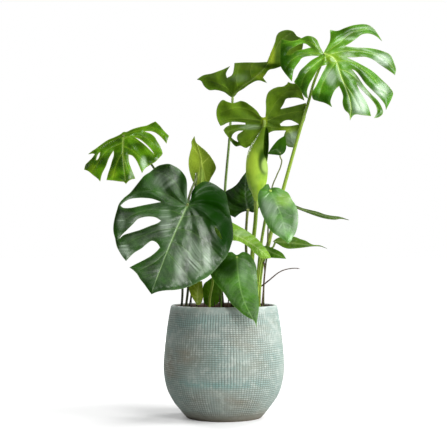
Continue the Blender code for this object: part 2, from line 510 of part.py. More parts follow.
def blade_normal(leaf):
    """The blade's unit normal at its joint, on the side away from the stalk."""
    column, row, _ = leaf["attach"]
    step = 2.0
    spots = [(column, row + step), (column + step, row + step), (column, row)]
    a, b, c = (lift(p[0], p[1], blade_depth(leaf, p)) for p in spots)
    normal = (b - a).cross(c - a).normalized()
    if normal.y > 0:
        normal = -normal
    return -normal if leaf["under"] else normal


def stalk_points(name):
    """A stalk's route, with its last stretch turned square to the blade that it carries."""
    leaf = LEAVES[name]
    points = [lift(*spot) for spot in STALKS[name]["route"]]
    points.insert(0, Vector((points[0].x, points[0].y, ROOTED_LEVEL)))
    joint = lift(*leaf["attach"])
    if name == "new_roll":
        return points + [joint - Vector((0.0, 0.0, GAP + JOINT_LENGTH)), joint - Vector((0.0, 0.0, GAP))]
    normal = blade_normal(leaf)
    turn = (normal * JOINT_SQUARENESS + (joint - points[-1]).normalized()).normalized()
    tilt = math.sqrt(1.0 - turn.dot(normal) ** 2)
    clear = BLADE_THICKNESS / 2 + RIB_HEIGHT / 2 + GAP + STALKS[name]["radii"][1] * tilt
    end = joint - normal * clear
    return points + [end - turn * JOINT_LENGTH, end]


def tapered(points, radii):
    """Radii along a route, from its first to its last."""
    runs = [0.0]
    for a, b in zip(points, points[1:]):
        runs.append(runs[-1] + (b - a).length)
    return [radii[0] + (radii[1] - radii[0]) * (run / runs[-1]) ** 0.6 for run in runs]


def stalk_curve(name):
    """A stalk's points, its radius at each, and its number of sides."""
    curve = smooth_route(stalk_points(name), STALK_STEP)
    return curve, tapered(curve, STALKS[name]["radii"]), STALK_SIDES


def root_curve(name):
    """An aerial root's points, its radius at each, and its number of sides."""
    points = [lift(*spot) for spot in ROOTS[name]["route"]]
    if ROOTS[name]["rooted"]:
        points.append(Vector((points[-1].x, points[-1].y, ROOTED_LEVEL)))
    curve = smooth_route(points, ROOT_STEP)
    return curve, tapered(curve, ROOTS[name]["radii"]), ROOT_SIDES


def make_stalk(name, finish):
    curve, radii, sides = stalk_curve(name)
    verts, faces = tube(curve, radii, sides)
    return new_object("stalk_" + name, verts, faces, finish)


def roll_mesh():
    """The newest leaf, still half rolled: a tapered scroll with its free edge open to the right."""
    half = BLADE_THICKNESS / 2
    depth = LEAVES["new_roll"]["attach"][2]
    outer = []
    inner = []
    for row, left, right, first, last in ROLL_RINGS:
        radius = (right - left) / (2.0 - 1.5 * ROLL_INWARD) * SQUARE
        centre = lift(left, row, depth) + Vector((radius * (1.0 - ROLL_INWARD / 2), 0.0, 0.0))
        for j in range(ROLL_STEPS + 1):
            t = j / ROLL_STEPS
            angle = math.radians(first + (last - first) * t)
            reach = radius * (1.0 - ROLL_INWARD * t)
            way = Vector((math.cos(angle), math.sin(angle), 0.0))
            outer.append(centre + way * (reach + half))
            inner.append(centre + way * (reach - half))
    wide = ROLL_STEPS + 1
    count = len(outer)
    quads = []
    for i in range(len(ROLL_RINGS) - 1):
        for j in range(ROLL_STEPS):
            low = i * wide + j
            quads.append((low, low + wide, low + wide + 1, low + 1))
    faces = []
    for a, b, c, d in quads:
        faces += [(a, b, c), (a, c, d), (c + count, b + count, a + count), (d + count, c + count, a + count)]
    directed = {(a, b) for face in quads for a, b in zip(face, face[1:] + face[:1])}
    for a, b in sorted(directed):
        if (b, a) not in directed:
            faces += [(b, a, a + count), (b, a + count, b + count)]
    return outer + inner, faces


def make_blade(name, finish):
    if name == "new_roll":
        verts, faces = roll_mesh()
    else:
        lobed = len(LEAVES[name]["outline"]) > LOBED_POINTS
        verts, faces = blade_mesh(LEAVES[name], BIG_SPACING if lobed else SMALL_SPACING)
    return new_object("blade_" + name, verts, faces, finish)


def turned(name, profile, steps, finish):
    """A solid turned round the pot's axis from a profile of radius and height, bottom to top."""
    mesh = bmesh.new()
    rings = []
    for radius, height in profile:
        if radius < 1e-6:
            rings.append([mesh.verts.new((0.0, 0.0, height))])
            continue
        ring = []
        for j in range(steps):
            turn = 2 * math.pi * j / steps
            ring.append(mesh.verts.new((radius * math.cos(turn), radius * math.sin(turn), height)))
        rings.append(ring)
    for low, high in zip(rings, rings[1:]):
        for j in range(steps):
            k = (j + 1) % steps
            if len(low) == 1:
                mesh.faces.new((low[0], high[k], high[j]))
            elif len(high) == 1:
                mesh.faces.new((low[j], low[k], high[0]))
            else:
                mesh.faces.new((low[j], low[k], high[k], high[j]))
    data = bpy.data.meshes.new(name)
    mesh.to_mesh(data)
    mesh.free()
    data.shade_smooth()
    data.set_sharp_from_angle(angle=math.radians(40))
    data.materials.append(finish)
    made = bpy.data.objects.new(name, data)
    bpy.context.scene.collection.objects.link(made)
    return made


def pot_side():
    """Points up the pot's outer side, from the foot to under the rim, read from a smooth curve."""
    marks = [(POT_FOOT_RADIUS, 0.0), (0.0818, 0.0040), (0.0905, 0.0140), (0.1066, 0.0350), (0.1178, 0.0560),
             (0.1240, 0.0790), (POT_RADIUS, 0.1060), (0.1248, 0.1400), (0.1202, 0.1820), (0.1160, 0.2080),
             (POT_RIM_RADIUS, POT_HEIGHT - 0.0058)]
    curve = smooth_route([Vector((radius, 0.0, height)) for radius, height in marks], POT_STEP)
    return [(point.x, point.z) for point in curve]


def pot_inner(height):
    """The pot's inner radius at a height."""
    side = pot_side()
    for (r1, z1), (r2, z2) in zip(side, side[1:]):
        if z1 <= height <= z2:
            return r1 + (r2 - r1) * (height - z1) / (z2 - z1) - POT_WALL
    return side[-1][0] - POT_WALL


def make_pot(finish):
    rim = POT_WALL / 2
    centre = (POT_RIM_RADIUS - rim, POT_HEIGHT - rim - 0.0015)
    lip = []
    for j in range(7):
        turn = math.pi * j / 6
        lip.append((centre[0] + rim * math.cos(turn), centre[1] + (rim + 0.0015) * math.sin(turn)))
    inner = [(pot_inner(z), z) for z in (0.212, 0.175, 0.135, 0.100, 0.070, 0.045, 0.028, POT_FLOOR + 0.007)]
    inner.append((inner[-1][0] - 0.010, POT_FLOOR))
    profile = [(0.0, 0.0)] + pot_side() + lip + inner + [(0.0, POT_FLOOR)]
    return turned("pot", profile, POT_STEPS, finish)


def soil_top(radius):
    """Height of the soil at a distance from the axis: slightly mounded."""
    return SOIL_LEVEL + SOIL_RISE * math.cos(min(1.0, radius / 0.1) * math.pi / 2)


def make_soil(finish):
    floor = POT_FLOOR + GAP
    heights = (POT_FLOOR + 0.0078, 0.028, 0.045, 0.070, 0.100, 0.135, 0.175, SOIL_LEVEL - 0.004)
    side = [(pot_inner(height) - 0.0006, height) for height in heights]
    outer = side[-1][0]
    top = [(radius, soil_top(radius)) for radius in (outer - 0.004, 0.080, 0.055, 0.030)]
    profile = [(0.0, floor), (side[0][0] - 0.012, floor), *side, *top, (0.0, soil_top(0.0))]
    soil = turned("soil", profile, POT_STEPS, finish)
    holes = bpy.data.collections.new("holes")
    bpy.context.scene.collection.children.link(holes)
    for name in list(STALKS) + [root for root in ROOTS if ROOTS[root]["rooted"]]:
        curve, radii, sides = stalk_curve(name) if name in STALKS else root_curve(name)
        if curve[0].z > curve[-1].z:
            curve = curve[::-1]
            radii = radii[::-1]
        count = 1 + next(i for i, point in enumerate(curve) if point.z > SOIL_LEVEL + 2 * SOIL_RISE)
        curve[0] = curve[0] - Vector((0.0, 0.0, GAP))
        verts, faces = tube(curve[:count], [radius + 2 * GAP for radius in radii[:count]], sides)
        mesh = bpy.data.meshes.new("hole_" + name)
        mesh.from_pydata([tuple(v) for v in verts], [], faces)
        cutter = bpy.data.objects.new("hole_" + name, mesh)
        cutter.hide_render = True
        cutter.display_type = "WIRE"
        holes.objects.link(cutter)
    cut = soil.modifiers.new("stalk holes", "BOOLEAN")
    cut.operation = "DIFFERENCE"
    cut.operand_type = "COLLECTION"
    cut.collection = holes
    cut.solver = "EXACT"
    return soil


def make_root(name, finish):
    curve, radii, sides = root_curve(name)
    verts, faces = tube(curve, radii, sides)
    return new_object(name, verts, faces, finish)


def main():
    clear_scene()
    make_pot(material("glazed clay", COLOURS["pot"], 0.6))
    make_soil(material("potting soil", COLOURS["soil"], 0.95))
    stalk_finish = material("leaf stalk", COLOURS["stalk"], 0.5)
    for name in LEAVES:
        make_stalk(name, stalk_finish)
        make_blade(name, material("blade " + name, COLOURS[name], 0.35))
    root_finish = material("aerial root", COLOURS["root"], 0.8)
    for name in ROOTS:
        make_root(name, root_finish)


main()
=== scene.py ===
"""Looks of the potted Swiss cheese plant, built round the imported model.

Every leaf, stalk and root is made again from the routes and drawn outlines of the model's own source, with
finer triangles, veins, quilting and curled margins. The pot gets its scored glaze and the soil its crumbs.
"""
import math
import random

import bpy
import numpy as np
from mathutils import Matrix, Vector, noise
from mathutils.geometry import delaunay_2d_cdt


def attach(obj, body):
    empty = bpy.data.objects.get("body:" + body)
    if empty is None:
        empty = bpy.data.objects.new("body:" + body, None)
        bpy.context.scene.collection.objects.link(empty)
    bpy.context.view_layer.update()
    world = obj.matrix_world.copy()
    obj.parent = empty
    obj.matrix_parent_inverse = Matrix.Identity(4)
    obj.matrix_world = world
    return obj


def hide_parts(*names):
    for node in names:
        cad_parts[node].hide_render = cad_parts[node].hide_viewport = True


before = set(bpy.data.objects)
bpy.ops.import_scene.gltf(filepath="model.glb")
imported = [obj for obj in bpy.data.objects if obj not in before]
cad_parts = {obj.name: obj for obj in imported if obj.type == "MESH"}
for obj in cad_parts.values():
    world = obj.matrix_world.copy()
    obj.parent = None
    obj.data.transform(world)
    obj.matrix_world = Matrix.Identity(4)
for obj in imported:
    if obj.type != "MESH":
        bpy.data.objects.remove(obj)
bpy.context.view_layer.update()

# Driving dimensions, as in the model's source
SQUARE = 0.0021
AXIS_COLUMN = 224.0
FLOOR_ROW = 416.7
STATION = Vector((0.0, -2.52, 0.3595))
IMAGE_SQUARES = 447
POT_HEIGHT = 0.235
POT_RADIUS = 0.1268
POT_RIM_RADIUS = 0.1120
POT_FOOT_RADIUS = 0.0780
POT_WALL = 0.0085
POT_FLOOR = 0.0120
SOIL_LEVEL = 0.2050
SOIL_RISE = 0.0060
BLADE_THICKNESS = 0.0009
ROOTED_LEVEL = 0.1750
JOINT_LENGTH = 0.014
JOINT_SQUARENESS = 0.8
ROLL_INWARD = 0.26

# Fineness of the visible meshes. Lengths that end in SQUARES are in squares of the elevation.
OUTLINE_SQUARES = 0.8
GRID_SQUARES = 0.85
VEIN_SQUARES = 0.9
BESIDE_VEIN_SQUARES = (-0.95, -0.5, 0.5, 0.95)
CLEAR_OF_EDGE_SQUARES = 0.35
CLEAR_OF_VEIN_SQUARES = 1.2
MERGES_PER_SQUARE = 2.2
CORNER_DEGREES = 62
STALK_SIDES = 16
STALK_STEP = 0.004
ROOT_SIDES = 12
ROOT_STEP = 0.002
ROLL_COLUMNS = 72
ROLL_ROWS = 110
SOIL_COLUMNS = 120
SOIL_ROWS = 34

# Relief of the blades
RIB_HEIGHT = 0.0018
RIB_WIDTH = 0.0016
VEIN_HEIGHT = 0.0006
VEIN_WIDTH = 0.0008
FURROW_DEPTH = 0.0002
QUILT_HEIGHT = 0.0026
QUILT_WIDTH = 0.0085
SWELL_HEIGHT = 0.0014
SWELL_PER_SQUARE = 0.11
CURL_WIDTH = 0.0065
MARGIN_WIDTH = 0.0012
HALO_WIDTH = 0.004
PLEAT_HEIGHT = 0.0003
PLEAT_PITCH = 0.0135
PLEAT_DRIFT = 0.004
DRIFT_PER_SQUARE = 0.05
# Spacing of the streaks in the painted sheen
STREAK_PITCH = 0.0040

# Veins of an undivided leaf: spacing and reach in squares, and how they leave the midrib and bend
VEIN_SPACING_SQUARES = 6.0
VEIN_REACH_SQUARES = 60
VEIN_OUT_DEGREES = 88.0
VEIN_TIPWARD_DEGREES = 42.0
VEIN_BEND_DEGREES = 2.4

# The swollen, wrinkled joint between a stalk and its blade
SWELLING_PLACE = 0.008
SWELLING_LENGTH = 0.009
SWELLING = 0.16
WRINKLE = 0.05
WRINKLES_PER_METRE = 2600.0

# The pot's scoring: lines round it and lines up it, cut by hand into the glaze
GROOVES = 128
GROOVE_DEPTH = 0.0010
SCORE_LOW = 0.0130
SCORE_HIGH = 0.2240
SCORE_PITCH = 0.0043
SCORE_START = 0.0110
SCORE_END = 0.2255
SCORE_FADE = 0.0040
WAVER_TURN = 0.010
WAVER_HEIGHT = 0.0009
UNEVEN_WALL = 0.0006
BARE_FOOT = 0.024
SIDE_TOP = POT_HEIGHT - 0.0058
RIM_CROWN = 0.0015
SOIL_GAP = 0.0006

# What lies on the soil
CRUMBS = 1500
CHIP_SHARE = 0.22
CHIP_SIZES = (0.0022, 0.0046)
CRUMB_SIZES = (0.0008, 0.0020)
SLIVER_FOOT_ROW = 306
SLIVER_SIDES = 8

# The studio. Lamps stand LAMP_DISTANCE from LAMP_TARGET: azimuth to the right of the front and elevation in
# degrees, side of the square panel, power in watts. The floor glows from GLOW_NEAR outward, full at GLOW_FAR.
FLOOR_GLOW = 0.16
GLOW_NEAR = 0.16
GLOW_FAR = 2.2
FLOOR_BOUNCE = 0.50
FLOOR_REACH = 30.0
WORLD_LIGHT = 0.03
LAMP_TARGET = Vector((0.0, 0.0, 0.45))
LAMP_DISTANCE = 2.6
LAMPS = {
    "key": (30, 26, 0.9, 44.0),
    "right": (74, 25, 1.4, 84.0),
    "behind_right": (140, 32, 1.1, 50.0),
    "behind_left": (-138, 32, 1.1, 42.0),
    "front": (2, 42, 1.2, 7.0),
    "front_left": (-27, 40, 1.1, 7.0),
    "overhead": (85, 64, 0.8, 18.0),
}

# Leaves. attach is where the stalk meets the blade: column, row and depth. slope is how fast the blade
# recedes to the right and upward. arch bends both sides back from the midrib, bend bends the tip back,
# wave is the height of the ripple along the margin. under is True where the underside faces the front.
LEAVES = {
    "upper_right": dict(
        attach=(325, 53.5, -0.020), slope=(0.10, 0.78), arch=2.6, bend=-0.5, wave=0.0040, under=False,
        outline=[
            (323.5, 53), (325, 50.5), (327, 47), (330, 40), (330, 30), (337, 31), (345, 28), (355, 25),
            (368, 25), (374, 29), (378, 34.5), (382, 41), (375, 35.5), (368, 33.5), (362, 34.5),
            (357, 38), (350, 43), (344.5, 46.3), (355, 47.5), (370, 48.3), (382, 51), (390, 55),
            (394, 63), (396, 70), (395, 75), (391, 72), (382, 66), (372, 59), (365, 56.8), (355, 57.2),
            (346.5, 57.3), (360, 64), (372, 71), (382, 80), (390, 88), (393, 93), (391, 100), (388, 106),
            (386, 110), (385, 105), (380, 98), (372, 90), (365, 83), (360, 76), (355, 70.5), (351.5, 69),
            (358, 77), (364, 86), (371, 94), (378, 101), (382, 108), (383, 113), (379, 117), (374, 118),
            (377, 112), (376, 106), (371, 99), (364, 92), (356.5, 84), (360, 92), (364, 98), (368, 106),
            (371, 116), (362, 115), (355, 114.5), (351.5, 117.5), (350, 120.5), (349, 114),
            (344.5, 109.5), (342.5, 103), (343, 96), (341, 90), (339, 86), (335, 90), (332, 96),
            (330.5, 102), (332, 107), (325, 103), (318, 101), (313, 99), (312, 93), (316, 86), (320, 78),
            (324, 70), (327, 64.5), (320, 67), (314, 76), (309, 85), (307, 92), (308, 98.5), (305, 97),
            (302, 93), (299, 88), (294, 82), (297, 77), (300, 71), (305, 66), (312, 60), (319.5, 56),
            (310, 56), (302, 58), (299, 62), (296, 66), (293.5, 71), (292.5, 77), (292, 81.5), (288, 77),
            (284, 72), (281, 67), (280, 60), (280, 50), (281, 39), (290, 41), (296, 40.5), (302, 38),
            (307, 36), (313, 37), (317, 40), (320, 47),
        ],
        holes=[
            [
                (286, 55), (289, 50), (294, 47), (300, 44), (305, 43.5), (311, 47.5), (303, 49.5),
                (296, 51), (290, 55),
            ],
        ],
        midrib=[
            (325, 53.5), (334, 58), (338, 66), (341, 76), (345, 86), (349, 97), (351, 108), (350.3, 118),
        ],
        veins=[
            [(327, 52), (338, 44), (352, 33), (368, 28.5)],
            [(329, 55), (345, 51), (365, 52), (385, 58.5), (393, 68)],
            [(336, 61), (352, 62.3), (370, 75), (386, 94)],
            [(339, 69), (351, 74), (366, 90), (379, 109)],
            [(342, 80), (352, 94), (360, 108)],
            [(322, 51), (311, 42.5), (300, 40.8), (284, 43.5)],
            [(323, 54), (305, 53.5), (292, 60), (286, 68)],
            [(329, 56), (318, 62), (306, 74), (301, 86)],
            [(336, 62), (328, 74), (322, 86), (319, 97)],
        ],
    ),
    "top": dict(
        attach=(232.5, 95.5, 0.180), slope=(0.10, -1.0), arch=1.2, bend=0.0, wave=0.003, under=True,
        outline=[
            (231.5, 97), (224, 92), (216, 90), (209, 90), (204, 86), (201, 81), (197, 79.5), (203, 75.5),
            (212, 73.5), (219, 71), (223, 69.5), (230, 66), (226, 74), (227, 78), (232, 75), (234, 68),
            (234.5, 63), (245, 62.5), (258, 62.5), (267, 62), (271, 52), (275, 42), (277, 35), (280, 32),
            (288, 30), (294, 32), (297, 36), (302, 39), (303, 46), (299, 55), (291, 61), (283, 65.5),
            (275, 68.5), (269, 70), (265, 75), (263, 77.5), (267, 83), (258, 80.5), (250, 84), (243, 89),
            (238, 92), (233.5, 97),
        ],
        holes=[],
        midrib=[(232.5, 95.5), (242, 86), (252, 79), (264, 68), (272, 55), (280, 41), (290, 33)],
        veins=[
            [(233, 94), (224, 86), (213, 81), (204, 80)],
            [(238, 89.5), (236, 78), (238, 66)],
            [(252, 79), (250, 71), (252, 64)],
        ],
    ),
    "upper_middle": dict(
        attach=(263.8, 119.5, 0.010), slope=(0.25, -0.50), arch=1.5, bend=0.0, wave=0.003, under=True,
        outline=[
            (263, 117.5), (261, 116.5), (257, 111), (250, 105), (245, 102), (241, 101), (236, 102.5),
            (232, 103), (227, 101.5), (223, 100), (220, 102), (217, 108), (216.5, 115), (218, 121),
            (220.5, 126), (223.5, 125), (226, 123.5), (231, 122), (238, 122), (245.5, 122.8),
            (245.5, 124.6), (236, 124.6), (229, 125.6), (225.5, 127.6), (223.5, 130), (225, 133),
            (228, 137), (230, 140), (233, 144), (236, 146.5), (240, 145.7), (246, 148), (250, 146),
            (253, 146), (256, 153), (259, 161), (262, 152), (265, 141), (268, 134), (272, 131.5),
            (280, 130.5), (286, 130.5), (284, 136), (287, 146), (293, 147.5), (297, 138), (300, 127),
            (304, 122), (306, 115), (306, 103), (300, 104.5), (290, 107), (280.5, 109), (284, 103),
            (286, 99), (290, 98), (298, 98), (304.5, 100.5), (302, 93), (300, 88), (297, 84), (292, 83.5),
            (288, 82), (287, 84), (283, 86.5), (278, 87), (271, 90), (268, 93), (266, 100), (266, 108),
            (265.5, 117),
        ],
        holes=[
            [
                (231.5, 137.5), (233, 134), (238, 131), (243.5, 130.7), (240, 133), (238, 134.5),
                (237, 138), (238.3, 142), (235, 140.5),
            ],
            [(280, 124), (285, 120.5), (290, 120), (296, 122.5), (299, 124.5), (290, 126), (281, 126)],
        ],
        midrib=[(263.8, 119.5), (262.5, 130), (260.5, 142), (259.2, 156)],
        veins=[
            [(261, 118.5), (250, 110), (235, 108), (221, 112)],
            [(261.5, 121), (248, 119), (232, 118.5), (221, 121)],
            [(262, 126), (250, 127.5), (236, 129), (228, 132)],
            [(261.5, 131), (254, 135), (246, 142)],
            [(266, 118.5), (275, 103), (286, 92), (297, 90)],
            [(266, 121), (280, 115), (303, 111)],
            [(265, 126), (280, 128.7), (289, 132), (292, 143)],
        ],
    ),
    "new_roll": dict(
        attach=(256, 201, -0.042), slope=(0.0, 0.0), arch=0.0, bend=0.0, wave=0.0, under=True, outline=[],
        holes=[], midrib=[], veins=[],
    ),
    "small_upper": dict(
        attach=(280, 152.5, -0.004), slope=(0.1, 0.35), arch=5.0, bend=0.0, wave=0.001, under=False,
        outline=[
            (267.5, 154), (272, 147), (278, 140), (285, 135.5), (286, 142), (286, 149), (284, 153),
            (281, 155), (275, 154.8),
        ],
        holes=[], midrib=[(280, 152.5), (276, 149.5), (271, 151.5)], veins=[],
    ),
    "upper_left": dict(
        attach=(123.5, 135.5, -0.020), slope=(0.05, 0.90), arch=2.5, bend=-0.4, wave=0.0035, under=False,
        outline=[
            (123.5, 132), (121, 134), (115, 137), (108, 140), (102, 144), (96, 148.5), (92, 151.2),
            (88.3, 154.2), (93.2, 153.6), (94.8, 154.2), (92, 158.2), (89, 161.2), (85.6, 164.8),
            (84.2, 169.5), (88, 171), (93, 175), (98, 179), (100.2, 181.5), (102, 174), (106, 166),
            (109, 158), (113.5, 150.5), (113.8, 155), (112, 161), (110, 168), (108, 174), (106.5, 180),
            (113, 180.5), (120, 181.5), (124, 182), (126, 184), (128, 181.5), (131, 179.5),
            (135.2, 178.5), (133, 173), (131, 168), (129, 162), (128.5, 154.5), (132, 155.5), (136, 160),
            (139, 166), (142, 173), (145, 168.5), (150, 165), (155, 162), (160, 157), (162.5, 154),
            (162, 151), (160, 146), (157, 141), (155, 137.5), (151, 134), (144, 131.5), (149, 131),
            (154, 132), (160, 136), (166.5, 143.5), (167.5, 140), (169, 136), (164, 131), (160, 126),
            (155.5, 121.5), (152, 123), (147, 125.5), (140, 127), (133, 129), (126, 132),
        ],
        holes=[
            [
                (134.4, 137.0), (140, 139.4), (146, 144.0), (151.5, 149.8), (154.5, 154.5),
                (150.6, 150.7), (145.2, 145.4), (139.4, 140.8),
            ],
            [(100, 152), (99.6, 155.5), (97.6, 159.6), (96.2, 160.4), (96.8, 157), (98.3, 154)],
        ],
        midrib=[(123.5, 135.5), (123, 145), (123, 157), (124, 168), (125.5, 180)],
        veins=[
            [(125, 134.5), (137, 131), (151, 127.5), (163, 135)],
            [(124, 139), (135, 135.5), (150, 140), (159, 152)],
            [(127, 136.5), (138, 142), (146, 149), (152.5, 156)],
            [(123.5, 146), (133, 151), (146, 163)],
            [(122, 136.5), (110, 142), (99, 148.5)],
            [(122.5, 143), (108, 150), (98, 163), (92, 172)],
            [(123, 152), (117, 163), (113, 178)],
            [(124, 157), (127, 167), (131, 177)],
        ],
    ),
    "front_left": dict(
        attach=(187.5, 205, -0.100), slope=(0.15, 0.35), arch=1.6, bend=-0.3, wave=0.0035, under=False,
        outline=[
            (188.5, 202.5), (190.5, 199), (192, 192), (195, 187), (199, 184), (203, 181.8), (208, 181.8),
            (214, 184), (220, 188), (225, 192), (227, 198), (228, 205), (230, 213), (232, 222),
            (233, 230), (233, 238), (231, 245), (229, 251), (226, 257), (221, 263), (215, 270),
            (211, 274), (206, 278), (200, 281), (193, 285), (185, 288), (175, 290), (165, 290.5),
            (157, 292), (151.5, 294.3), (149, 291), (144, 284), (140, 279), (137, 274), (133, 270),
            (129.5, 267.5), (136, 264), (144, 260), (151, 256), (157, 251), (160, 247.5), (157, 243),
            (152, 240.8), (148, 243), (142, 248), (134, 253), (126, 261), (122, 256), (119, 251),
            (117, 247), (115, 238), (113.5, 232), (113.5, 225), (115, 217), (117, 210), (119, 204),
            (124, 198), (130, 193), (135, 187), (139, 182), (144, 176), (150, 172), (153, 169.5),
            (158, 166), (163, 164.5), (169, 164), (174, 166), (179, 169), (183, 173), (186, 178),
            (187, 184), (187, 190), (187.2, 198),
        ],
        holes=[
            [
                (119.5, 239), (121, 236), (127, 230), (133, 224), (138, 219), (144, 217), (150, 216.5),
                (156, 217.5), (161, 220.7), (158, 223), (150, 226), (140, 230), (130, 233), (123, 235.5),
            ],
            [
                (120.5, 205.5), (125, 201.5), (130, 199), (137, 198), (145, 198), (153, 199), (161, 202),
                (150, 204), (140, 206), (130, 208), (122.5, 207.5),
            ],
            [(214.3, 226), (218, 229.6), (221.3, 235.4), (221.8, 240), (218.4, 236.6), (215.2, 231.4)],
        ],
        midrib=[
            (187.5, 205), (183, 215), (177, 228), (172, 240), (167, 252), (162, 265), (157, 278),
            (152.5, 291),
        ],
        veins=[
            [(190, 203), (200, 193), (211, 190), (221, 196)],
            [(187, 207), (200, 203), (216, 207), (228, 218)],
            [(182.5, 217), (198, 216), (212, 222), (229, 240)],
            [(177, 228.5), (192, 232), (208, 244), (221, 258)],
            [(172, 240.5), (184, 248), (198, 262), (205, 275)],
            [(167, 252.5), (178, 264), (188, 277), (192, 283)],
            [(186.5, 202), (178, 186), (166, 175), (155, 172)],
            [(186, 206.5), (170, 196), (150, 190.5), (134, 193)],
            [(182.5, 214.5), (165, 209.5), (140, 212), (119, 223)],
            [(176.5, 228.5), (160, 230), (140, 237), (122, 246)],
            [(167.5, 251), (155, 262), (140, 270)],
        ],
    ),
    "left_heart": dict(
        attach=(201, 184, -0.020), slope=(0.15, -0.30), arch=6.0, bend=0.6, wave=0.001, under=True,
        outline=[
            (194.5, 136), (191.5, 141.5), (191.7, 146), (190, 153), (188.7, 160), (189, 168),
            (190.5, 175), (193, 182), (196, 188), (199, 189), (201, 185.5), (204, 188.5), (208, 185),
            (211, 178), (214, 173), (216, 168), (215, 164), (211, 157), (206, 151), (200, 146),
            (196, 142),
        ],
        holes=[], midrib=[(201, 184), (201.5, 172), (201, 160), (198, 148), (195, 139)],
        veins=[
            [(201, 160), (199.6, 169), (197.6, 180)],
            [(201, 160), (203.2, 169), (205.8, 180)],
            [(201, 165), (206, 160), (209, 157)],
            [(201, 158), (196, 151), (193, 148)],
        ],
    ),
    "dark_middle": dict(
        attach=(248, 209.5, 0.036), slope=(0.1, 0.25), arch=2.0, bend=0.3, wave=0.002, under=False,
        outline=[
            (246, 172), (242, 177), (237, 184), (232, 188), (227, 190.5), (223, 194), (220, 201),
            (222, 209), (228, 214), (235, 217.5), (240, 213.5), (243, 212), (248, 211), (253, 212.5),
            (258, 209), (262, 202), (260, 194), (255, 187), (250, 179),
        ],
        holes=[], midrib=[(248, 209.5), (246, 199), (245.5, 188), (246, 176)], veins=[],
    ),
    "middle_heart": dict(
        attach=(270.5, 190.5, -0.082), slope=(0.10, 0.40), arch=5.0, bend=-0.5, wave=0.0015, under=False,
        outline=[
            (270.2, 188.5), (268.5, 184), (266, 184.5), (262.5, 188), (260, 190), (258, 195), (258, 202),
            (261, 212), (264, 219), (268, 227), (272, 232), (278, 236), (284, 240), (288, 243.5),
            (291, 241), (293, 237), (295, 234), (297, 228), (298, 222), (298, 214), (296, 206),
            (292, 200), (288, 193), (283, 190), (279, 188), (274, 187.5),
        ],
        holes=[], midrib=[(270.5, 190.5), (275, 200), (280, 212), (284, 226), (287.5, 241)], veins=[],
    ),
    "right_high": dict(
        attach=(287.5, 204.5, -0.006), slope=(0.2, 2.6), arch=3.0, bend=0.0, wave=0.001, under=False,
        outline=[
            (285, 203), (291, 203.5), (297, 206), (303, 208.3), (310, 210), (318, 212), (325, 214.5),
            (333, 216), (339, 216.7), (349, 220), (340, 218.7), (336, 219.5), (330, 219.2), (324, 218.2),
            (317, 216.2), (310, 213.7), (303, 211), (297, 208.6), (290, 206.5),
        ],
        holes=[], midrib=[(287.5, 204.5), (303, 209.5), (318, 214), (333, 217.7), (343, 218.5)], veins=[],
    ),
    "right_low": dict(
        attach=(275.5, 241.5, -0.020), slope=(0.1, 1.9), arch=3.0, bend=0.0, wave=0.001, under=False,
        outline=[
            (273, 241.5), (276, 239), (281, 237), (288, 236.3), (295, 237), (300, 239), (306, 241),
            (310, 243.5), (313, 244.8), (320, 245.5), (327, 248.5), (320, 246.3), (312, 246.3),
            (303, 247.5), (295, 248.3), (288, 248.5), (283, 247), (278, 244),
        ],
        holes=[], midrib=[(275.5, 241.5), (287, 242.5), (300, 244), (311, 245.3), (320, 245.9)], veins=[],
    ),
    "right_small": dict(
        attach=(265.5, 248.5, -0.064), slope=(0.1, 0.8), arch=3.0, bend=0.0, wave=0.001, under=False,
        outline=[
            (262, 246.5), (266, 246), (272, 248), (279, 251), (283, 254), (286, 258.7), (280, 258.2),
            (272, 257.7), (266, 256), (262, 251),
        ],
        holes=[], midrib=[(265.5, 248.5), (272, 252.5), (279, 255.5), (284, 257.7)], veins=[],
    ),
    "lime": dict(
        attach=(214.5, 226, -0.049), slope=(-0.35, 0.45), arch=5.0, bend=0.0, wave=0.001, under=False,
        outline=[
            (213.2, 224), (213.6, 219.8), (217, 217), (222, 217.6), (228, 220.2), (234, 223.5),
            (240, 226.8), (246, 230.2), (252, 234.3), (257.5, 239), (262.5, 244.4), (266.6, 249.6),
            (269.4, 254), (271.2, 258), (266, 258.6), (261, 258), (256.5, 254.6), (252.5, 250.8),
            (248.5, 247), (244, 244), (239.5, 241.6), (234, 240.6), (228, 241), (222, 240.6),
            (217, 237.2), (213.6, 231.5),
        ],
        holes=[], midrib=[(214.5, 226), (225, 230), (236, 234.8), (247, 240.8), (258, 248.3), (268, 256)],
        veins=[],
    ),
    "lower_front": dict(
        attach=(237, 257, -0.084), slope=(0.10, 0.48), arch=3.5, bend=-0.2, wave=0.0015, under=False,
        outline=[
            (236.5, 255), (231.5, 252), (225, 254), (219.5, 261), (214.5, 267.5), (210.5, 273),
            (212.5, 278.5), (218, 286), (224, 293), (230, 302), (236, 308), (244, 315), (250, 318.5),
            (254, 320.5), (256.5, 327.5), (257, 320), (258.5, 312), (259, 304), (258.5, 296),
            (257.5, 285), (257, 275), (256, 266), (253, 259), (249, 254), (243, 252),
        ],
        holes=[], midrib=[(237, 257), (237.5, 268), (239, 280), (241.5, 293), (247, 308), (255.5, 323)],
        veins=[],
    ),
    "low_olive": dict(
        attach=(197.5, 302, -0.062), slope=(0.2, 0.2), arch=4.0, bend=0.0, wave=0.001, under=False,
        outline=[
            (189, 289), (190, 285), (196, 282), (202, 281), (203, 290), (202.5, 300), (200, 304.5),
            (197, 305), (192, 297),
        ],
        holes=[], midrib=[(197.5, 302), (197.5, 294), (198.5, 285)], veins=[],
    ),
    "low_dark": dict(
        attach=(210.5, 304, -0.022), slope=(0.1, 0.2), arch=4.0, bend=0.0, wave=0.001, under=False,
        outline=[
            (204, 284), (208, 280.5), (214, 276), (219, 285), (221, 295), (218, 303), (211, 306.5),
            (205, 304), (203, 295),
        ],
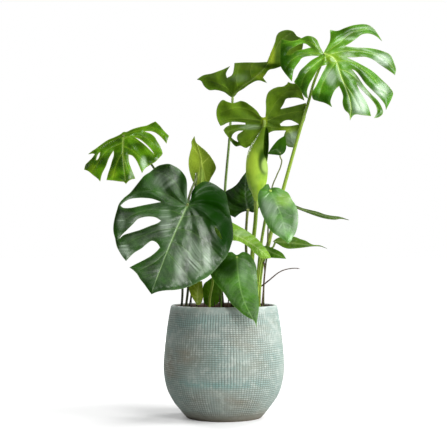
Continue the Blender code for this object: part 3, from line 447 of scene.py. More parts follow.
        holes=[], midrib=[(210.5, 304), (211.5, 294), (213, 280)], veins=[],
    ),
}

# The newest leaf's scroll, from its base up: row, left and right column, and the turns, in degrees, where
# its outer and its inner edge lie. 0 is to the right and -90 is to the front.
ROLL_RINGS = [
    (201, 254.3, 257.7, -10, -340), (195, 252.6, 260.2, -15, -345), (186, 248.6, 262.6, -20, -350),
    (176, 246.5, 264.3, -28, -355), (165, 246.3, 266.2, -45, -358), (155, 247.8, 267.6, -70, -362),
    (146, 251, 268.4, -78, -362), (138, 256, 268.4, -84, -362), (131, 260.5, 268.2, -86, -362),
    (127.5, 262.8, 267.2, -80, -362),
]

# Stalks, from the soil up to the blade: column, row and depth of each point, then the radius at both ends.
STALKS = {
    "upper_right": dict(
        route=[
            (257.5, 312, 0.014), (258.5, 285, 0.010), (262.5, 260, 0.004), (268, 245, 0.0),
            (271.5, 231, 0.0), (283, 190, -0.010), (288, 172, -0.016), (299, 133, -0.030),
            (303.5, 118, -0.032), (309, 100, -0.028), (314, 82, -0.018),
        ],
        radii=(0.0062, 0.0027),
    ),
    "top": dict(
        route=[
            (221, 312, 0.045), (221.5, 250, 0.070), (225, 190, 0.110), (227, 165, 0.130),
            (229.3, 140, 0.148), (231, 115, 0.164),
        ],
        radii=(0.0040, 0.0026),
    ),
    "upper_middle": dict(
        route=[
            (251.5, 312, 0.012), (252.5, 250, 0.002), (256.5, 210, -0.004), (260.5, 160, -0.010),
            (262.5, 137, -0.014),
        ],
        radii=(0.0050, 0.0029),
    ),
    "new_roll": dict(
        route=[(249.7, 312, -0.027), (251, 280, -0.034), (253, 245, -0.038), (255.3, 222, -0.041)],
        radii=(0.0058, 0.0040),
    ),
    "small_upper": dict(
        route=[
            (263.5, 312, -0.006), (263.8, 285, -0.012), (265.8, 264, -0.014), (267.3, 252, -0.034),
            (268.5, 220, -0.030), (271.5, 190, -0.010), (276.5, 176, -0.004), (280.3, 167.5, 0.002),
            (281.8, 160.5, 0.006),
        ],
        radii=(0.0022, 0.0014),
    ),
    "upper_left": dict(
        route=[
            (181.3, 312, 0.010), (182.5, 289, 0.010), (181, 255, 0.012), (174, 212, 0.010),
            (160, 178, 0.004), (143, 154, 0.004),
        ],
        radii=(0.0026, 0.0024),
    ),
    "front_left": dict(
        route=[
            (185.5, 312, -0.049), (188, 289, -0.052), (190, 255, -0.055), (191.5, 225, -0.052),
            (194, 200, -0.047), (196, 182, -0.045), (196.4, 173.5, -0.057), (195.5, 180, -0.068),
            (192.4, 187, -0.074), (189.9, 194, -0.083),
        ],
        radii=(0.0026, 0.0025),
    ),
    "left_heart": dict(
        route=[
            (188.5, 312, -0.010), (191, 298, -0.014), (194, 270, -0.022), (197, 235, -0.030),
            (199.5, 203, -0.036),
        ],
        radii=(0.0022, 0.0018),
    ),
    "dark_middle": dict(
        route=[(246, 312, 0.032), (246.5, 270, 0.034), (246, 236, 0.040)], radii=(0.0036, 0.0028),
    ),
    "middle_heart": dict(
        route=[(255.3, 312, -0.012), (257.5, 280, -0.024), (261, 245, -0.046), (266, 215, -0.062)],
        radii=(0.0040, 0.0028),
    ),
    "right_high": dict(
        route=[
            (253.5, 312, 0.034), (258, 280, 0.030), (265, 255, 0.024), (270.5, 235, 0.022),
            (278, 215, 0.018),
        ],
        radii=(0.0034, 0.0026),
    ),
    "right_low": dict(
        route=[(259.5, 312, -0.028), (260.5, 285, -0.026), (263.5, 263, -0.018), (269, 249.5, -0.016)],
        radii=(0.0024, 0.0018),
    ),
    "right_small": dict(
        route=[(256.5, 312, -0.046), (258.5, 285, -0.052), (261, 262, -0.054)], radii=(0.0024, 0.0018),
    ),
    "lime": dict(
        route=[(209.5, 312, -0.055), (209.5, 300, -0.055), (213, 280, -0.052), (213.5, 252, -0.041)],
        radii=(0.0030, 0.0022),
    ),
    "lower_front": dict(route=[(233.5, 312, -0.050), (235.5, 285, -0.058)], radii=(0.0028, 0.0022)),
    "low_olive": dict(route=[(197, 312, -0.050), (197.3, 309, -0.052)], radii=(0.0020, 0.0016)),
    "low_dark": dict(route=[(210, 312, -0.018), (210, 311, -0.016)], radii=(0.0020, 0.0016)),
}

# Aerial roots, from their seat on a stalk to their tip in the soil or in the air.
ROOTS = {
    "aerial_root_long": dict(
        route=[
            (263.8, 262.3, -0.0212), (264.3, 264.5, -0.027), (264.8, 272, -0.034), (263.6, 288, -0.032),
            (261.5, 312, -0.030),
        ],
        radii=(0.0016, 0.0014), rooted=True,
    ),
    "aerial_root_arching": dict(
        route=[
            (260.65, 286.3, 0.0058), (264, 284.3, -0.002), (270, 279.5, -0.008), (278, 273, -0.010),
            (285, 269.7, -0.010), (293, 268.3, -0.008), (300, 268.6, -0.006),
        ],
        radii=(0.0018, 0.0009), rooted=False,
    ),
}

# How each leaf looks: the two greens of its upper side, its veins' colour, how strongly rib, side veins and
# fine lines show, and its gloss and roughness. curl is how far the margin turns to the underside, and quilt
# is the swelling between the veins. The keys of USUAL_LOOK are given only where a leaf differs from it: deep
# is the colour of its painted shade zones, heart the size of a pale spot at the joint, edge the strength of the
# margin, streak of the streaks in its painted sheen, pleat, swell and veins of its relief, and slant turns its
# pleats.
LOOKS = {
    "upper_right": dict(
        slot="leaf_bright", dark=(0.006, 0.052, 0.000), light=(0.036, 0.180, 0.001), shine=0.34,
        vein=(0.30, 0.46, 0.05), rib=0.9, side=0.50, rough=0.25, curl=0.0032, quilt=1.1, lines=0.08,
        heart=0.07, pleat=0.3,
    ),
    "top": dict(
        slot="leaf_olive", dark=(0.028, 0.088, 0.001), light=(0.092, 0.210, 0.003), shine=0.30,
        vein=(0.18, 0.27, 0.02), rib=0.5, side=0.30, rough=0.36, curl=0.0050, quilt=1.0, lines=0.08,
    ),
    "upper_middle": dict(
        slot="leaf_olive", dark=(0.018, 0.068, 0.001), light=(0.084, 0.188, 0.003), shine=0.30,
        vein=(0.20, 0.29, 0.03), rib=0.5, side=0.35, rough=0.36, curl=0.0055, quilt=1.0, lines=0.08,
    ),
    "new_roll": dict(
        slot="leaf_new", dark=(0.160, 0.320, 0.010), light=(0.430, 0.630, 0.050), shine=0.40,
        deep=(0.018, 0.060, 0.001), vein=(0.36, 0.54, 0.06), rib=0.6, side=0.5, rough=0.32, curl=0.0,
        quilt=0.0, lines=0.35,
    ),
    "small_upper": dict(
        slot="leaf_mid", dark=(0.010, 0.042, 0.000), light=(0.024, 0.090, 0.000), shine=0.05,
        vein=(0.05, 0.13, 0.01), rib=0.5, side=0.2, rough=0.38, curl=0.0015, quilt=0.4, lines=0.2,
    ),
    "upper_left": dict(
        slot="leaf_bright", dark=(0.004, 0.036, 0.000), light=(0.082, 0.232, 0.001), shine=0.32,
        vein=(0.22, 0.32, 0.02), rib=0.6, side=0.45, rough=0.26, curl=0.0040, quilt=1.0, lines=0.08,
        edge=0.6,
    ),
    "front_left": dict(
        slot="leaf_deep", dark=(0.002, 0.015, 0.000), light=(0.014, 0.068, 0.003), shine=0.40,
        vein=(0.13, 0.26, 0.04), rib=0.85, side=0.22, rough=0.36, curl=0.0035, quilt=0.6, lines=0.04,
        pleat=0.6, swell=0.5, streak=0.5, deep=(0.003, 0.024, 0.000),
    ),
    "left_heart": dict(
        slot="leaf_olive", dark=(0.076, 0.140, 0.005), light=(0.130, 0.205, 0.012), shine=0.30,
        vein=(0.40, 0.50, 0.08), rib=0.25, side=0.55, rough=0.42, curl=0.0015, quilt=0.08, lines=0.15,
        pleat=0.1, veins=0.2,
    ),
    "dark_middle": dict(
        slot="leaf_deep", dark=(0.003, 0.018, 0.000), light=(0.022, 0.076, 0.001), shine=0.12,
        vein=(0.03, 0.07, 0.01), rib=0.5, side=0.2, rough=0.34, curl=0.0015, quilt=0.7, lines=0.1,
    ),
    "middle_heart": dict(
        slot="leaf_mid", dark=(0.018, 0.085, 0.001), light=(0.060, 0.215, 0.006), shine=0.65,
        vein=(0.14, 0.34, 0.04), rib=0.3, side=0.04, rough=0.34, curl=0.0030, quilt=0.05, lines=0.05,
        pleat=0.0, veins=0.2,
    ),
    "right_high": dict(
        slot="leaf_mid", dark=(0.012, 0.040, 0.001), light=(0.036, 0.090, 0.002), shine=0.06,
        vein=(0.10, 0.14, 0.02), rib=0.5, side=0.1, rough=0.38, curl=0.0008, quilt=0.3, lines=0.1,
    ),
    "right_low": dict(
        slot="leaf_mid", dark=(0.016, 0.062, 0.000), light=(0.070, 0.160, 0.003), shine=0.20,
        vein=(0.18, 0.28, 0.03), rib=0.5, side=0.15, rough=0.34, curl=0.0008, quilt=0.3, lines=0.1,
    ),
    "right_small": dict(
        slot="leaf_mid", dark=(0.014, 0.060, 0.000), light=(0.045, 0.125, 0.002), shine=0.20,
        vein=(0.14, 0.26, 0.02), rib=0.5, side=0.15, rough=0.36, curl=0.0008, quilt=0.3, lines=0.1,
    ),
    "lime": dict(
        slot="leaf_new", dark=(0.120, 0.330, 0.004), light=(0.270, 0.560, 0.020), shine=0.55,
        vein=(0.50, 0.70, 0.20), rib=0.6, side=0.35, rough=0.24, curl=0.0020, quilt=0.5, lines=0.9,
        pleat=0.9, slant=0.35,
    ),
    "lower_front": dict(
        slot="leaf_mid", dark=(0.006, 0.036, 0.000), light=(0.036, 0.140, 0.003), shine=0.30,
        vein=(0.16, 0.36, 0.04), rib=0.45, side=0.06, rough=0.32, curl=0.0025, quilt=0.1, lines=0.25,
        pleat=0.15, veins=0.2,
    ),
    "low_olive": dict(
        slot="leaf_olive", dark=(0.080, 0.130, 0.002), light=(0.190, 0.270, 0.008), shine=0.15,
        vein=(0.26, 0.32, 0.03), rib=0.5, side=0.2, rough=0.44, curl=0.0008, quilt=0.4, lines=0.4,
    ),
    "low_dark": dict(
        slot="leaf_deep", dark=(0.024, 0.090, 0.001), light=(0.090, 0.220, 0.006), shine=0.15,
        vein=(0.08, 0.18, 0.01), rib=0.5, side=0.2, rough=0.40, curl=0.0008, quilt=0.4, lines=0.2,
    ),
}
USUAL_LOOK = dict(deep=None, heart=None, edge=0.25, streak=0.2, pleat=0.5, swell=1.0, veins=1.0, slant=1.0)

# Soft zones painted on a blade: painted shade where it is darker, golden yellow-green patches (on the top
# leaf's far lobe a painted backlit glow), limier patches, and painted silvery sheen and highlights: tone, column,
# row, how wide and how tall the zone is, and how strong. The crisp-edged dark tone is painted shadow, as in the
# roll's shadowed hollow and round its curled edge.
ZONES = {
    "upper_right": [
        ("painted_sheen", 361, 102, 8, 13, 0.60), ("painted_sheen", 382, 60, 9, 6, 0.55),
        ("painted_sheen", 381, 90, 7, 7, 0.5), ("painted_sheen", 331, 77, 5, 8, 0.45), ("dark", 285, 62, 7, 18, 0.75),
        ("dark", 301, 80, 7, 14, 0.6), ("dark", 322, 99, 12, 6, 0.7), ("dark", 345, 33, 14, 5, 0.5),
        ("dark", 360, 78, 5, 9, 0.4), ("dark", 345, 92, 5, 9, 0.5), ("gold", 333, 58, 9, 6, 0.2),
    ],
    "top": [
        # The top leaf: its strong gold stripe is a painted backlit glow, its strong dark band painted shade from
        # the fold above it, and its silvery zone a painted sheen
        ("dark", 207, 83, 11, 7, 0.55), ("gold", 271, 54, 4, 13, 0.85), ("gold", 262, 76, 8, 3, 0.4),
        ("dark", 273, 66, 12, 3, 0.9), ("dark", 232, 86, 3, 10, 0.6), ("painted_sheen", 240, 78, 8, 4, 0.14),
        ("dark", 240, 89, 6, 4, 0.4), ("gold", 250, 67, 13, 3, 0.15),
    ],
    "upper_middle": [
        ("gold", 264, 121, 3, 6, 0.8), ("painted_sheen", 250, 127, 10, 2.5, 0.25),
        ("painted_sheen", 294, 139, 8, 8, 0.45), ("gold", 290, 130, 10, 3, 0.3), ("dark", 224, 112, 7, 9, 0.35),
        ("dark", 235, 144, 6, 4.5, 0.85), ("dark", 284, 100, 7, 7, 0.3),
    ],
    "upper_left": [
        ("painted_sheen", 143.5, 163, 3.0, 6, 0.5), ("gold", 113, 174, 4, 5, 0.2), ("gold", 92, 169, 4, 5, 0.15),
        ("painted_sheen", 132, 174, 2.5, 5, 0.25), ("dark", 139, 147, 7, 6, 0.5), ("dark", 110, 147, 9, 4, 0.35),
        ("dark", 121, 160, 2.5, 12, 0.3), ("dark", 156, 150, 4, 7, 0.35),
    ],
    "front_left": [
        ("dark", 213, 202, 22, 19, 1.0), ("dark", 225, 232, 11, 24, 1.0), ("dark", 152, 287, 16, 8, 0.6),
        ("dark", 192, 194, 5, 12, 1.0), ("dark", 184, 188, 5, 20, 0.6), ("dark", 217, 217, 14, 13, 1.0),
        ("painted_sheen", 165, 221, 6, 14, 0.25), ("painted_sheen", 178, 262, 4, 15, 0.20),
        ("painted_sheen", 194, 258, 6, 17, 0.36), ("painted_sheen", 207, 258, 4, 12, 0.20),
        ("painted_sheen", 121, 222, 4, 7, 0.22), ("painted_sheen", 124, 250, 5, 6, 0.40),
        ("painted_sheen", 165, 181, 10, 8, 0.16), ("dark", 150, 232, 10, 4, 0.4), ("dark", 164, 268, 5, 16, 0.3),
    ],
    "left_heart": [
        ("lime", 201.6, 176, 3.2, 7, 0.45), ("dark", 214, 172, 4, 10, 0.5), ("dark", 203, 187, 9, 3, 0.6),
        ("gold", 196, 157, 5, 13, 0.25),
    ],
    "middle_heart": [
        ("painted_sheen", 268, 208, 7, 10, 0.22), ("painted_sheen", 282, 229, 7, 9, 0.22),
        ("painted_sheen", 274, 212, 3, 12, 0.2), ("dark", 294, 222, 4, 13, 0.4), ("gold", 284, 200, 9, 7, 0.2),
        ("dark", 271, 189, 5, 4, 0.5),
    ],
    "lower_front": [
        ("dark", 228, 266, 12, 12, 0.9), ("painted_sheen", 244, 272, 5, 13, 0.12),
        ("dark", 238, 300, 5, 10, 0.3), ("painted_sheen", 251, 280, 4, 16, 0.06),
    ],
    "new_roll": [
        # On the roll: painted shade on its upper part, painted shadow in its open hollow and round its curled
        # edge, and the lime outer side of that edge
        ("dark", 262.5, 140, 8, 20, 0.62), ("dark", 251, 144, 4, 8, 0.35),
        ("painted_shadow", 267.0, 141, 2.8, 19, 0.9), ("painted_shadow", 264.0, 161.4, 6.0, 13.2, 0.97),
        ("lime", 266.8, 165.2, 5.5, 8.0, 1.0),
    ],
    "lime": [("painted_sheen", 243, 233, 10, 4, 0.25), ("dark", 250, 247, 22, 2.6, 0.3)],
}
# The silvery tone is the colour of the painted sheen and highlights
TONES = {"gold": (0.34, 0.46, 0.02), "lime": (0.33, 0.50, 0.09), "painted_sheen": (0.52, 0.65, 0.50)}
CRISP_TONES = ("painted_shadow", "lime")

# The two greens of a stalk, from the soil to the blade
STALK_TONES = {
    "green": ((0.060, 0.130, 0.006), (0.110, 0.200, 0.014)),
    "pale": ((0.120, 0.220, 0.012), (0.170, 0.270, 0.024)),
    "brownish": ((0.050, 0.050, 0.012), (0.120, 0.150, 0.020)),
    "dark": ((0.018, 0.022, 0.004), (0.060, 0.090, 0.010)),
    # bright: pale yellow-green sheaths, lightened further into a painted highlight, palest at the soil end
    "bright": ((0.380, 0.500, 0.060), (0.200, 0.330, 0.020)),
}
STALK_LOOKS = {
    "upper_right": "bright",
    "top": "green",
    "upper_middle": "pale",
    "new_roll": "bright",
    "small_upper": "brownish",
    "upper_left": "dark",
    "front_left": "dark",
    "left_heart": "dark",
    "dark_middle": "brownish",
    "middle_heart": "bright",
    "right_high": "pale",
    "right_low": "bright",
    "right_small": "bright",
    "lime": "bright",
    "lower_front": "green",
    "low_olive": "green",
    "low_dark": "green",
}

# Where the glaze is thick and teal and where it is worn to the clay: turn from the front to the right in
# degrees, height, how far each reaches round and up, and how strong it is
GLAZE_PATCHES = [
    ("worn", -36, 0.136, 16, 0.024, 0.95), ("worn", -62, 0.112, 14, 0.030, 0.7),
    ("worn", 20, 0.166, 14, 0.030, 0.35), ("worn", 12, 0.044, 24, 0.012, 0.6),
    ("worn", -26, 0.046, 14, 0.010, 0.6), ("worn", 30, 0.128, 10, 0.020, 0.3),
    ("teal", -30, 0.206, 40, 0.014, 0.75), ("teal", -10, 0.080, 70, 0.009, 0.95),
    ("teal", -8, 0.150, 10, 0.050, 0.4), ("teal", 62, 0.130, 24, 0.050, 0.3),
    ("teal", -40, 0.068, 26, 0.010, 0.4), ("teal", 150, 0.170, 50, 0.020, 0.6),
    ("worn", 120, 0.110, 26, 0.030, 0.6), ("worn", -140, 0.160, 30, 0.024, 0.6),
    ("teal", -120, 0.090, 50, 0.014, 0.6), ("worn", 170, 0.060, 30, 0.016, 0.6),
    ("teal", 90, 0.190, 30, 0.020, 0.4),
]

# Dry sheaths that stand out of the soil: column at the foot, column and row of the tip, depth, and radius
SLIVERS = [
    (220.5, 219, 293, -0.050, 0.0036), (224, 222.5, 288, -0.044, 0.0042), (227, 229, 293, -0.050, 0.0036),
    (230.5, 232.5, 297, -0.046, 0.0034), (216.5, 214, 299, -0.054, 0.0030),
    (206, 203.5, 298, -0.050, 0.0028), (193, 191.5, 299, -0.040, 0.0026),
    (262, 264.5, 302, -0.036, 0.0024),
]


class Tree:
    """Short calls for building one material's nodes."""

    def __init__(self, name):
        self.material = bpy.data.materials.new(name)
        self.material.use_nodes = True
        self.nodes = self.material.node_tree.nodes
        self.links = self.material.node_tree.links
        self.shader = self.nodes["Principled BSDF"]

    def put(self, socket, value):
        """Links a socket to an input, or sets the input's own value."""
        if isinstance(value, bpy.types.NodeSocket):
            self.links.new(value, socket)
        elif isinstance(value, tuple) and len(value) == 3 and len(socket.default_value) == 4:
            socket.default_value = (*value, 1.0)
        else:
            socket.default_value = value

    def place(self, scale=(1.0, 1.0, 1.0)):
        """Object coordinates, stretched."""
        coordinates = self.nodes.new("ShaderNodeTexCoord")
        mapping = self.nodes.new("ShaderNodeMapping")
        mapping.inputs["Scale"].default_value = scale
        self.links.new(coordinates.outputs["Object"], mapping.inputs["Vector"])
        return mapping.outputs["Vector"]

    def noise(self, vector, scale, detail=2.0, roughness=0.5):
        node = self.nodes.new("ShaderNodeTexNoise")
        self.links.new(vector, node.inputs["Vector"])
        node.inputs["Scale"].default_value = scale
        node.inputs["Detail"].default_value = detail
        node.inputs["Roughness"].default_value = roughness
        return node.outputs["Fac"]

    def cells(self, vector, scale):
        """Distance to the nearest edge of a net of cells."""
        node = self.nodes.new("ShaderNodeTexVoronoi")
        node.feature = "DISTANCE_TO_EDGE"
        self.links.new(vector, node.inputs["Vector"])
        node.inputs["Scale"].default_value = scale
        return node.outputs["Distance"]

    def attribute(self, name):
        node = self.nodes.new("ShaderNodeAttribute")
        node.attribute_name = name
        return node.outputs["Fac"]

    def spread(self, value, low, high, to_low=0.0, to_high=1.0):
        """A value carried from one range to another, and held there."""
        node = self.nodes.new("ShaderNodeMapRange")
        self.links.new(value, node.inputs["Value"])
        node.inputs["From Min"].default_value = low
        node.inputs["From Max"].default_value = high
        node.inputs["To Min"].default_value = to_low
        node.inputs["To Max"].default_value = to_high
        return node.outputs["Result"]

    def calculate(self, operation, a, b=0.0):
        node = self.nodes.new("ShaderNodeMath")
        node.operation = operation
        self.put(node.inputs[0], a)
        self.put(node.inputs[1], b)
        return node.outputs["Value"]

    def times(self, a, b):
        return self.calculate("MULTIPLY", a, b)

    def marked(self, name, strength):
        """An attribute of the mesh, scaled."""
        return self.times(self.attribute(name), strength)

    def mix(self, share, a, b):
        """A colour between two."""
        node = self.nodes.new("ShaderNodeMix")
        node.data_type = "RGBA"
        self.put(node.inputs["Factor"], share)
        self.put(node.inputs[6], a)
        self.put(node.inputs[7], b)
        return node.outputs[2]

    def bump(self, height, strength, distance):
        node = self.nodes.new("ShaderNodeBump")
        node.inputs["Strength"].default_value = strength
        node.inputs["Distance"].default_value = distance
        self.links.new(height, node.inputs["Height"])
        self.links.new(node.outputs["Normal"], self.shader.inputs["Normal"])

    def finish(self, colour, rough):
        self.put(self.shader.inputs["Base Color"], colour)
        self.put(self.shader.inputs["Roughness"], rough)
        return self.material


def lighter(colour, share):
    return tuple(c + (1.0 - c) * share for c in colour)


def blend(a, b, share):
    return tuple(x + (y - x) * share for x, y in zip(a, b))


def held(value):
    """The value, held between 0 and 1."""
    return min(1.0, max(0.0, value))


def look_of(name):
    return {**USUAL_LOOK, **LOOKS[name]}


def add_ribs(tree, look, light, colour):
    """Adds the glow beside the veins, the veins, the rib and the margin to a leaf's colour."""
    vein = look["vein"]
    colour = tree.mix(tree.marked("heart", 0.30), colour, blend(light, vein, 0.45))
    colour = tree.mix(tree.marked("halo", 0.5 * look["side"]), colour, blend(light, vein, 0.35))
    colour = tree.mix(tree.marked("vein", look["side"]), colour, vein)
    colour = tree.mix(tree.marked("rib", look["rib"]), colour, lighter(vein, 0.06))
    return tree.mix(tree.marked("margin", look["edge"]), colour, vein)


def add_zones(tree, look, shows_painted_sheen, colour):
    """Adds a leaf's soft zones to its colour: painted shade and shadow, golden and lime patches, and painted
    sheen.
    """
    deep = look["deep"] or blend(look["dark"], (0.0, 0.0, 0.0), 0.6)
    # Golden yellow-green patches of the leaf; on the top leaf's far lobe a painted backlit glow
    colour = tree.mix(tree.attribute("gold"), colour, TONES["gold"])
    # Painted shade on the parts of a blade that lie in shade or face away from the lamps
    colour = tree.mix(tree.attribute("dark"), colour, deep)
    # Painted shadow with a crisp edge, in the same dark colour
    colour = tree.mix(tree.attribute("painted_shadow"), colour, deep)
    colour = tree.mix(tree.attribute("lime"), colour, TONES["lime"])
    # Painted sheen and highlights, only on the side that faces the front
    if shows_painted_sheen:
        colour = tree.mix(tree.attribute("painted_sheen"), colour, TONES["painted_sheen"])
    return colour


def leaf_material(name, underside):
    """A leaf's skin: patches of two greens, a fine net, parallel veinlets, and paler ribs and margin."""
    look = look_of(name)
    tree = Tree("skin_" + name + ("_under" if underside else "_upper"))
    dark = look["dark"]
    light = look["light"]
    if underside:
        dark = blend(dark, (0.14, 0.22, 0.004), 0.22)
        light = blend(light, (0.20, 0.28, 0.008), 0.22)
    place = tree.place()
    patch = tree.spread(tree.noise(place, 22.0, 3.0, 0.55), 0.36, 0.66)
    colour = tree.mix(patch, dark, light)
    net = tree.spread(tree.cells(place, 260.0), 0.0, 0.16, 1.0, 0.0)
    colour = tree.mix(tree.times(net, 0.12), colour, look["vein"])
    lines = tree.calculate("SINE", tree.marked("course", 2600.0))
    lines = tree.spread(lines, 0.35, 1.0, 0.0, look["lines"] * 0.5)
    colour = tree.mix(lines, colour, look["vein"])
    colour = add_ribs(tree, look, light, colour)
    if name in ZONES:
        colour = add_zones(tree, look, not underside or LEAVES[name]["under"], colour)
    rough = look["rough"] + (0.14 if underside else 0.0)
    gloss = tree.spread(tree.noise(place, 60.0, 2.0), 0.3, 0.7, rough - 0.05, rough + 0.08)
    grain = tree.calculate("ADD", tree.noise(place, 300.0, 2.0, 0.5), tree.times(lines, -1.0))
    tree.bump(grain, 0.16, 0.0003)
    shine = look["shine"] * (0.35 if underside else 1.0)
    # The painted shade zones also lose almost all their gloss
    if name in ZONES:
        shine = tree.spread(tree.attribute("dark"), 0.0, 1.0, shine, shine * 0.03)
    tree.put(tree.shader.inputs["Specular IOR Level"], shine)
    return tree.finish(colour, gloss)


def leaf_finishes(name):
    """The materials of a leaf's upper side and underside."""
    return [leaf_material(name, False), leaf_material(name, True)]


def stalk_material(tone):
    """A smooth stalk with faint streaks along it, paler where it meets the blade and the soil."""
    low, high = STALK_TONES[tone]
    tree = Tree("stalk_skin_" + tone)
    streaks = tree.noise(tree.place((1.0, 1.0, 0.06)), 420.0, 3.0, 0.6)
    colour = tree.mix(tree.spread(tree.attribute("run"), 0.0, 0.85), low, high)
    colour = tree.mix(tree.spread(streaks, 0.42, 0.75, 0.0, 0.5), colour, lighter(high, 0.12))
    spots = tree.noise(tree.place(), 160.0, 2.0)
    spot_share = tree.spread(spots, 0.60, 0.78, 0.0, 0.45)
    colour = tree.mix(spot_share, colour, blend(low, (0.12, 0.07, 0.03), 0.5))
    joint_tone = lighter(blend(high, (0.45, 0.55, 0.12), 0.5), 0.05)
    colour = tree.mix(tree.attribute("joint"), colour, joint_tone)
    tree.bump(streaks, 0.4, 0.0004)
    tree.put(tree.shader.inputs["Specular IOR Level"], 0.3)
    return tree.finish(colour, tree.spread(spots, 0.3, 0.7, 0.34, 0.46))


def root_material():
    """Brown corky bark with pale cracks."""
    tree = Tree("root_bark")
    place = tree.place()
    bark = tree.noise(place, 300.0, 4.0, 0.65)
    colour = tree.mix(tree.spread(bark, 0.35, 0.65), (0.024, 0.011, 0.006), (0.095, 0.050, 0.026))
    cracks = tree.spread(tree.cells(place, 420.0), 0.0, 0.12, 1.0, 0.0)
    colour = tree.mix(tree.times(cracks, 0.35), colour, (0.17, 0.11, 0.06))
    tree.bump(bark, 0.8, 0.0006)
    return tree.finish(colour, 0.75)


def glaze_material():
    """A weathered matte glaze over brown clay: scored lines, bands of teal, and patches worn to the clay."""
    tree = Tree("weathered_glaze")
    place = tree.place()
    patch = tree.noise(tree.place((0.7, 0.7, 1.8)), 16.0, 4.0, 0.65)
    bands = tree.noise(tree.place((0.12, 0.12, 1.0)), 42.0, 3.0, 0.6)
    mottle = tree.noise(place, 70.0, 4.0, 0.65)
    speck = tree.noise(place, 420.0, 3.0, 0.7)
    colour = tree.mix(tree.spread(bands, 0.38, 0.62), (0.310, 0.365, 0.330), (0.245, 0.330, 0.300))
    colour = tree.mix(tree.spread(patch, 0.50, 0.70, 0.0, 0.45), colour, (0.270, 0.245, 0.180))
    broken = tree.spread(patch, 0.30, 0.60, 0.35, 1.0)
    colour = tree.mix(tree.marked("teal", broken), colour, (0.190, 0.340, 0.310))
    colour = tree.mix(tree.marked("worn", broken), colour, (0.265, 0.238, 0.175))
    colour = tree.mix(tree.spread(mottle, 0.48, 0.70, 0.0, 0.70), colour, (0.480, 0.530, 0.490))
    colour = tree.mix(tree.spread(speck, 0.55, 0.75, 0.0, 0.35), colour, (0.150, 0.150, 0.115))
    colour = tree.mix(tree.marked("score", 0.85), colour, (0.105, 0.116, 0.088))
    colour = tree.mix(tree.attribute("foot"), colour, (0.190, 0.158, 0.110))
    colour = tree.mix(tree.attribute("inside"), colour, (0.050, 0.024, 0.013))
    tree.bump(tree.calculate("ADD", speck, tree.times(mottle, 0.8)), 0.5, 0.0006)
    return tree.finish(colour, tree.spread(mottle, 0.3, 0.7, 0.50, 0.74))


def soil_material():
    """Dark peat with paler bark chips and crumbs."""
    tree = Tree("potting_mix")
    grit = tree.noise(tree.place(), 500.0, 4.0, 0.7)
    colour = tree.mix(tree.spread(grit, 0.35, 0.70), (0.012, 0.007, 0.004), (0.060, 0.034, 0.018))
    colour = tree.mix(tree.attribute("chip"), colour, (0.150, 0.080, 0.040))
    tree.bump(grit, 1.0, 0.0012)
    return tree.finish(colour, 0.92)


def lift(column, row, depth):
    """The point at a depth behind the pot's axis that is drawn at a column and row of the elevation."""
    drawn = Vector(((column - AXIS_COLUMN) * SQUARE, 0.0, (FLOOR_ROW - row) * SQUARE))
    return STATION + (drawn - STATION) * ((depth - STATION.y) / -STATION.y)


def lift_all(points, depths):
    """lift, for an array of drawn points and their depths."""
    station = np.array(STATION)
    drawn = np.zeros((len(points), 3))
    drawn[:, 0] = (points[:, 0] - AXIS_COLUMN) * SQUARE
    drawn[:, 2] = (FLOOR_ROW - points[:, 1]) * SQUARE
    return station + (drawn - station) * ((depths - station[1]) / -station[1])[:, None]


def between(before, start, end, after, t):
    """The place at a share t from start to end on a Catmull-Rom curve through four values."""
    return 0.5 * (2 * start + (end - before) * t + (2 * before - 5 * start + 4 * end - after) * t * t
                  + (3 * start - before - 3 * end + after) * t ** 3)


def smooth_route(points, step):
    """Points about a step apart on a smooth curve through the given points."""
    ends = [points[0] * 2 - points[1]] + list(points) + [points[-1] * 2 - points[-2]]
    curve = []
    for i in range(1, len(ends) - 2):
        count = max(1, round((ends[i + 1] - ends[i]).length / step))
        for j in range(count):
            curve.append(between(*ends[i - 1:i + 3], j / count))
    curve.append(points[-1].copy())
    return curve


def smooth_line(line, step):
    """A drawn open line as an array of points on a smooth curve."""
    return np.array([(p.x, p.y) for p in smooth_route([Vector(p) for p in line], step)])


def ways_through(points):
    """The directions in and out of each point of a loop: one direction, or two at a sharp corner."""
    ways = []
    for i, point in enumerate(points):
        come = (point - points[i - 1]).normalized()
        leave = (points[(i + 1) % len(points)] - point).normalized()
        sharp = come.angle(leave, math.pi) > math.radians(CORNER_DEGREES)
        ways.append((come, leave) if sharp else ((come + leave).normalized(),) * 2)
    return ways


def smooth_loop(loop, step):
    """A drawn closed outline, rounded between its points but for its sharp corners."""
    points = [Vector(p) for p in loop]
    ways = ways_through(points)
    curve = []
    for i, start in enumerate(points):
        after = (i + 1) % len(points)
        end = points[after]
        length = (end - start).length
        out = ways[i][1] * length
        into = ways[after][0] * length
        steps = max(1, round(length / step))
        for j in range(steps):
            t = j / steps
            spot = (start * (2 * t ** 3 - 3 * t * t + 1) + out * (t ** 3 - 2 * t * t + t)
                    + end * (3 * t * t - 2 * t ** 3) + into * (t ** 3 - t * t))
            curve.append((spot.x, spot.y))
    return np.array(curve)


def closed(loops):
    """The loops, each with its first point again at its end."""
    return [np.vstack([loop, loop[:1]]) for loop in loops]


def inside(points, loops):
    """Which drawn points lie inside the loops, counted by crossings."""
    odd = np.zeros(len(points), bool)
    for loop in loops:
        for (x1, y1), (x2, y2) in zip(loop, np.roll(loop, -1, axis=0)):
            if y1 == y2:
                continue
            crosses = (y1 > points[:, 1]) != (y2 > points[:, 1])
            odd ^= crosses & (points[:, 0] < (x2 - x1) * (points[:, 1] - y1) / (y2 - y1) + x1)
    return odd


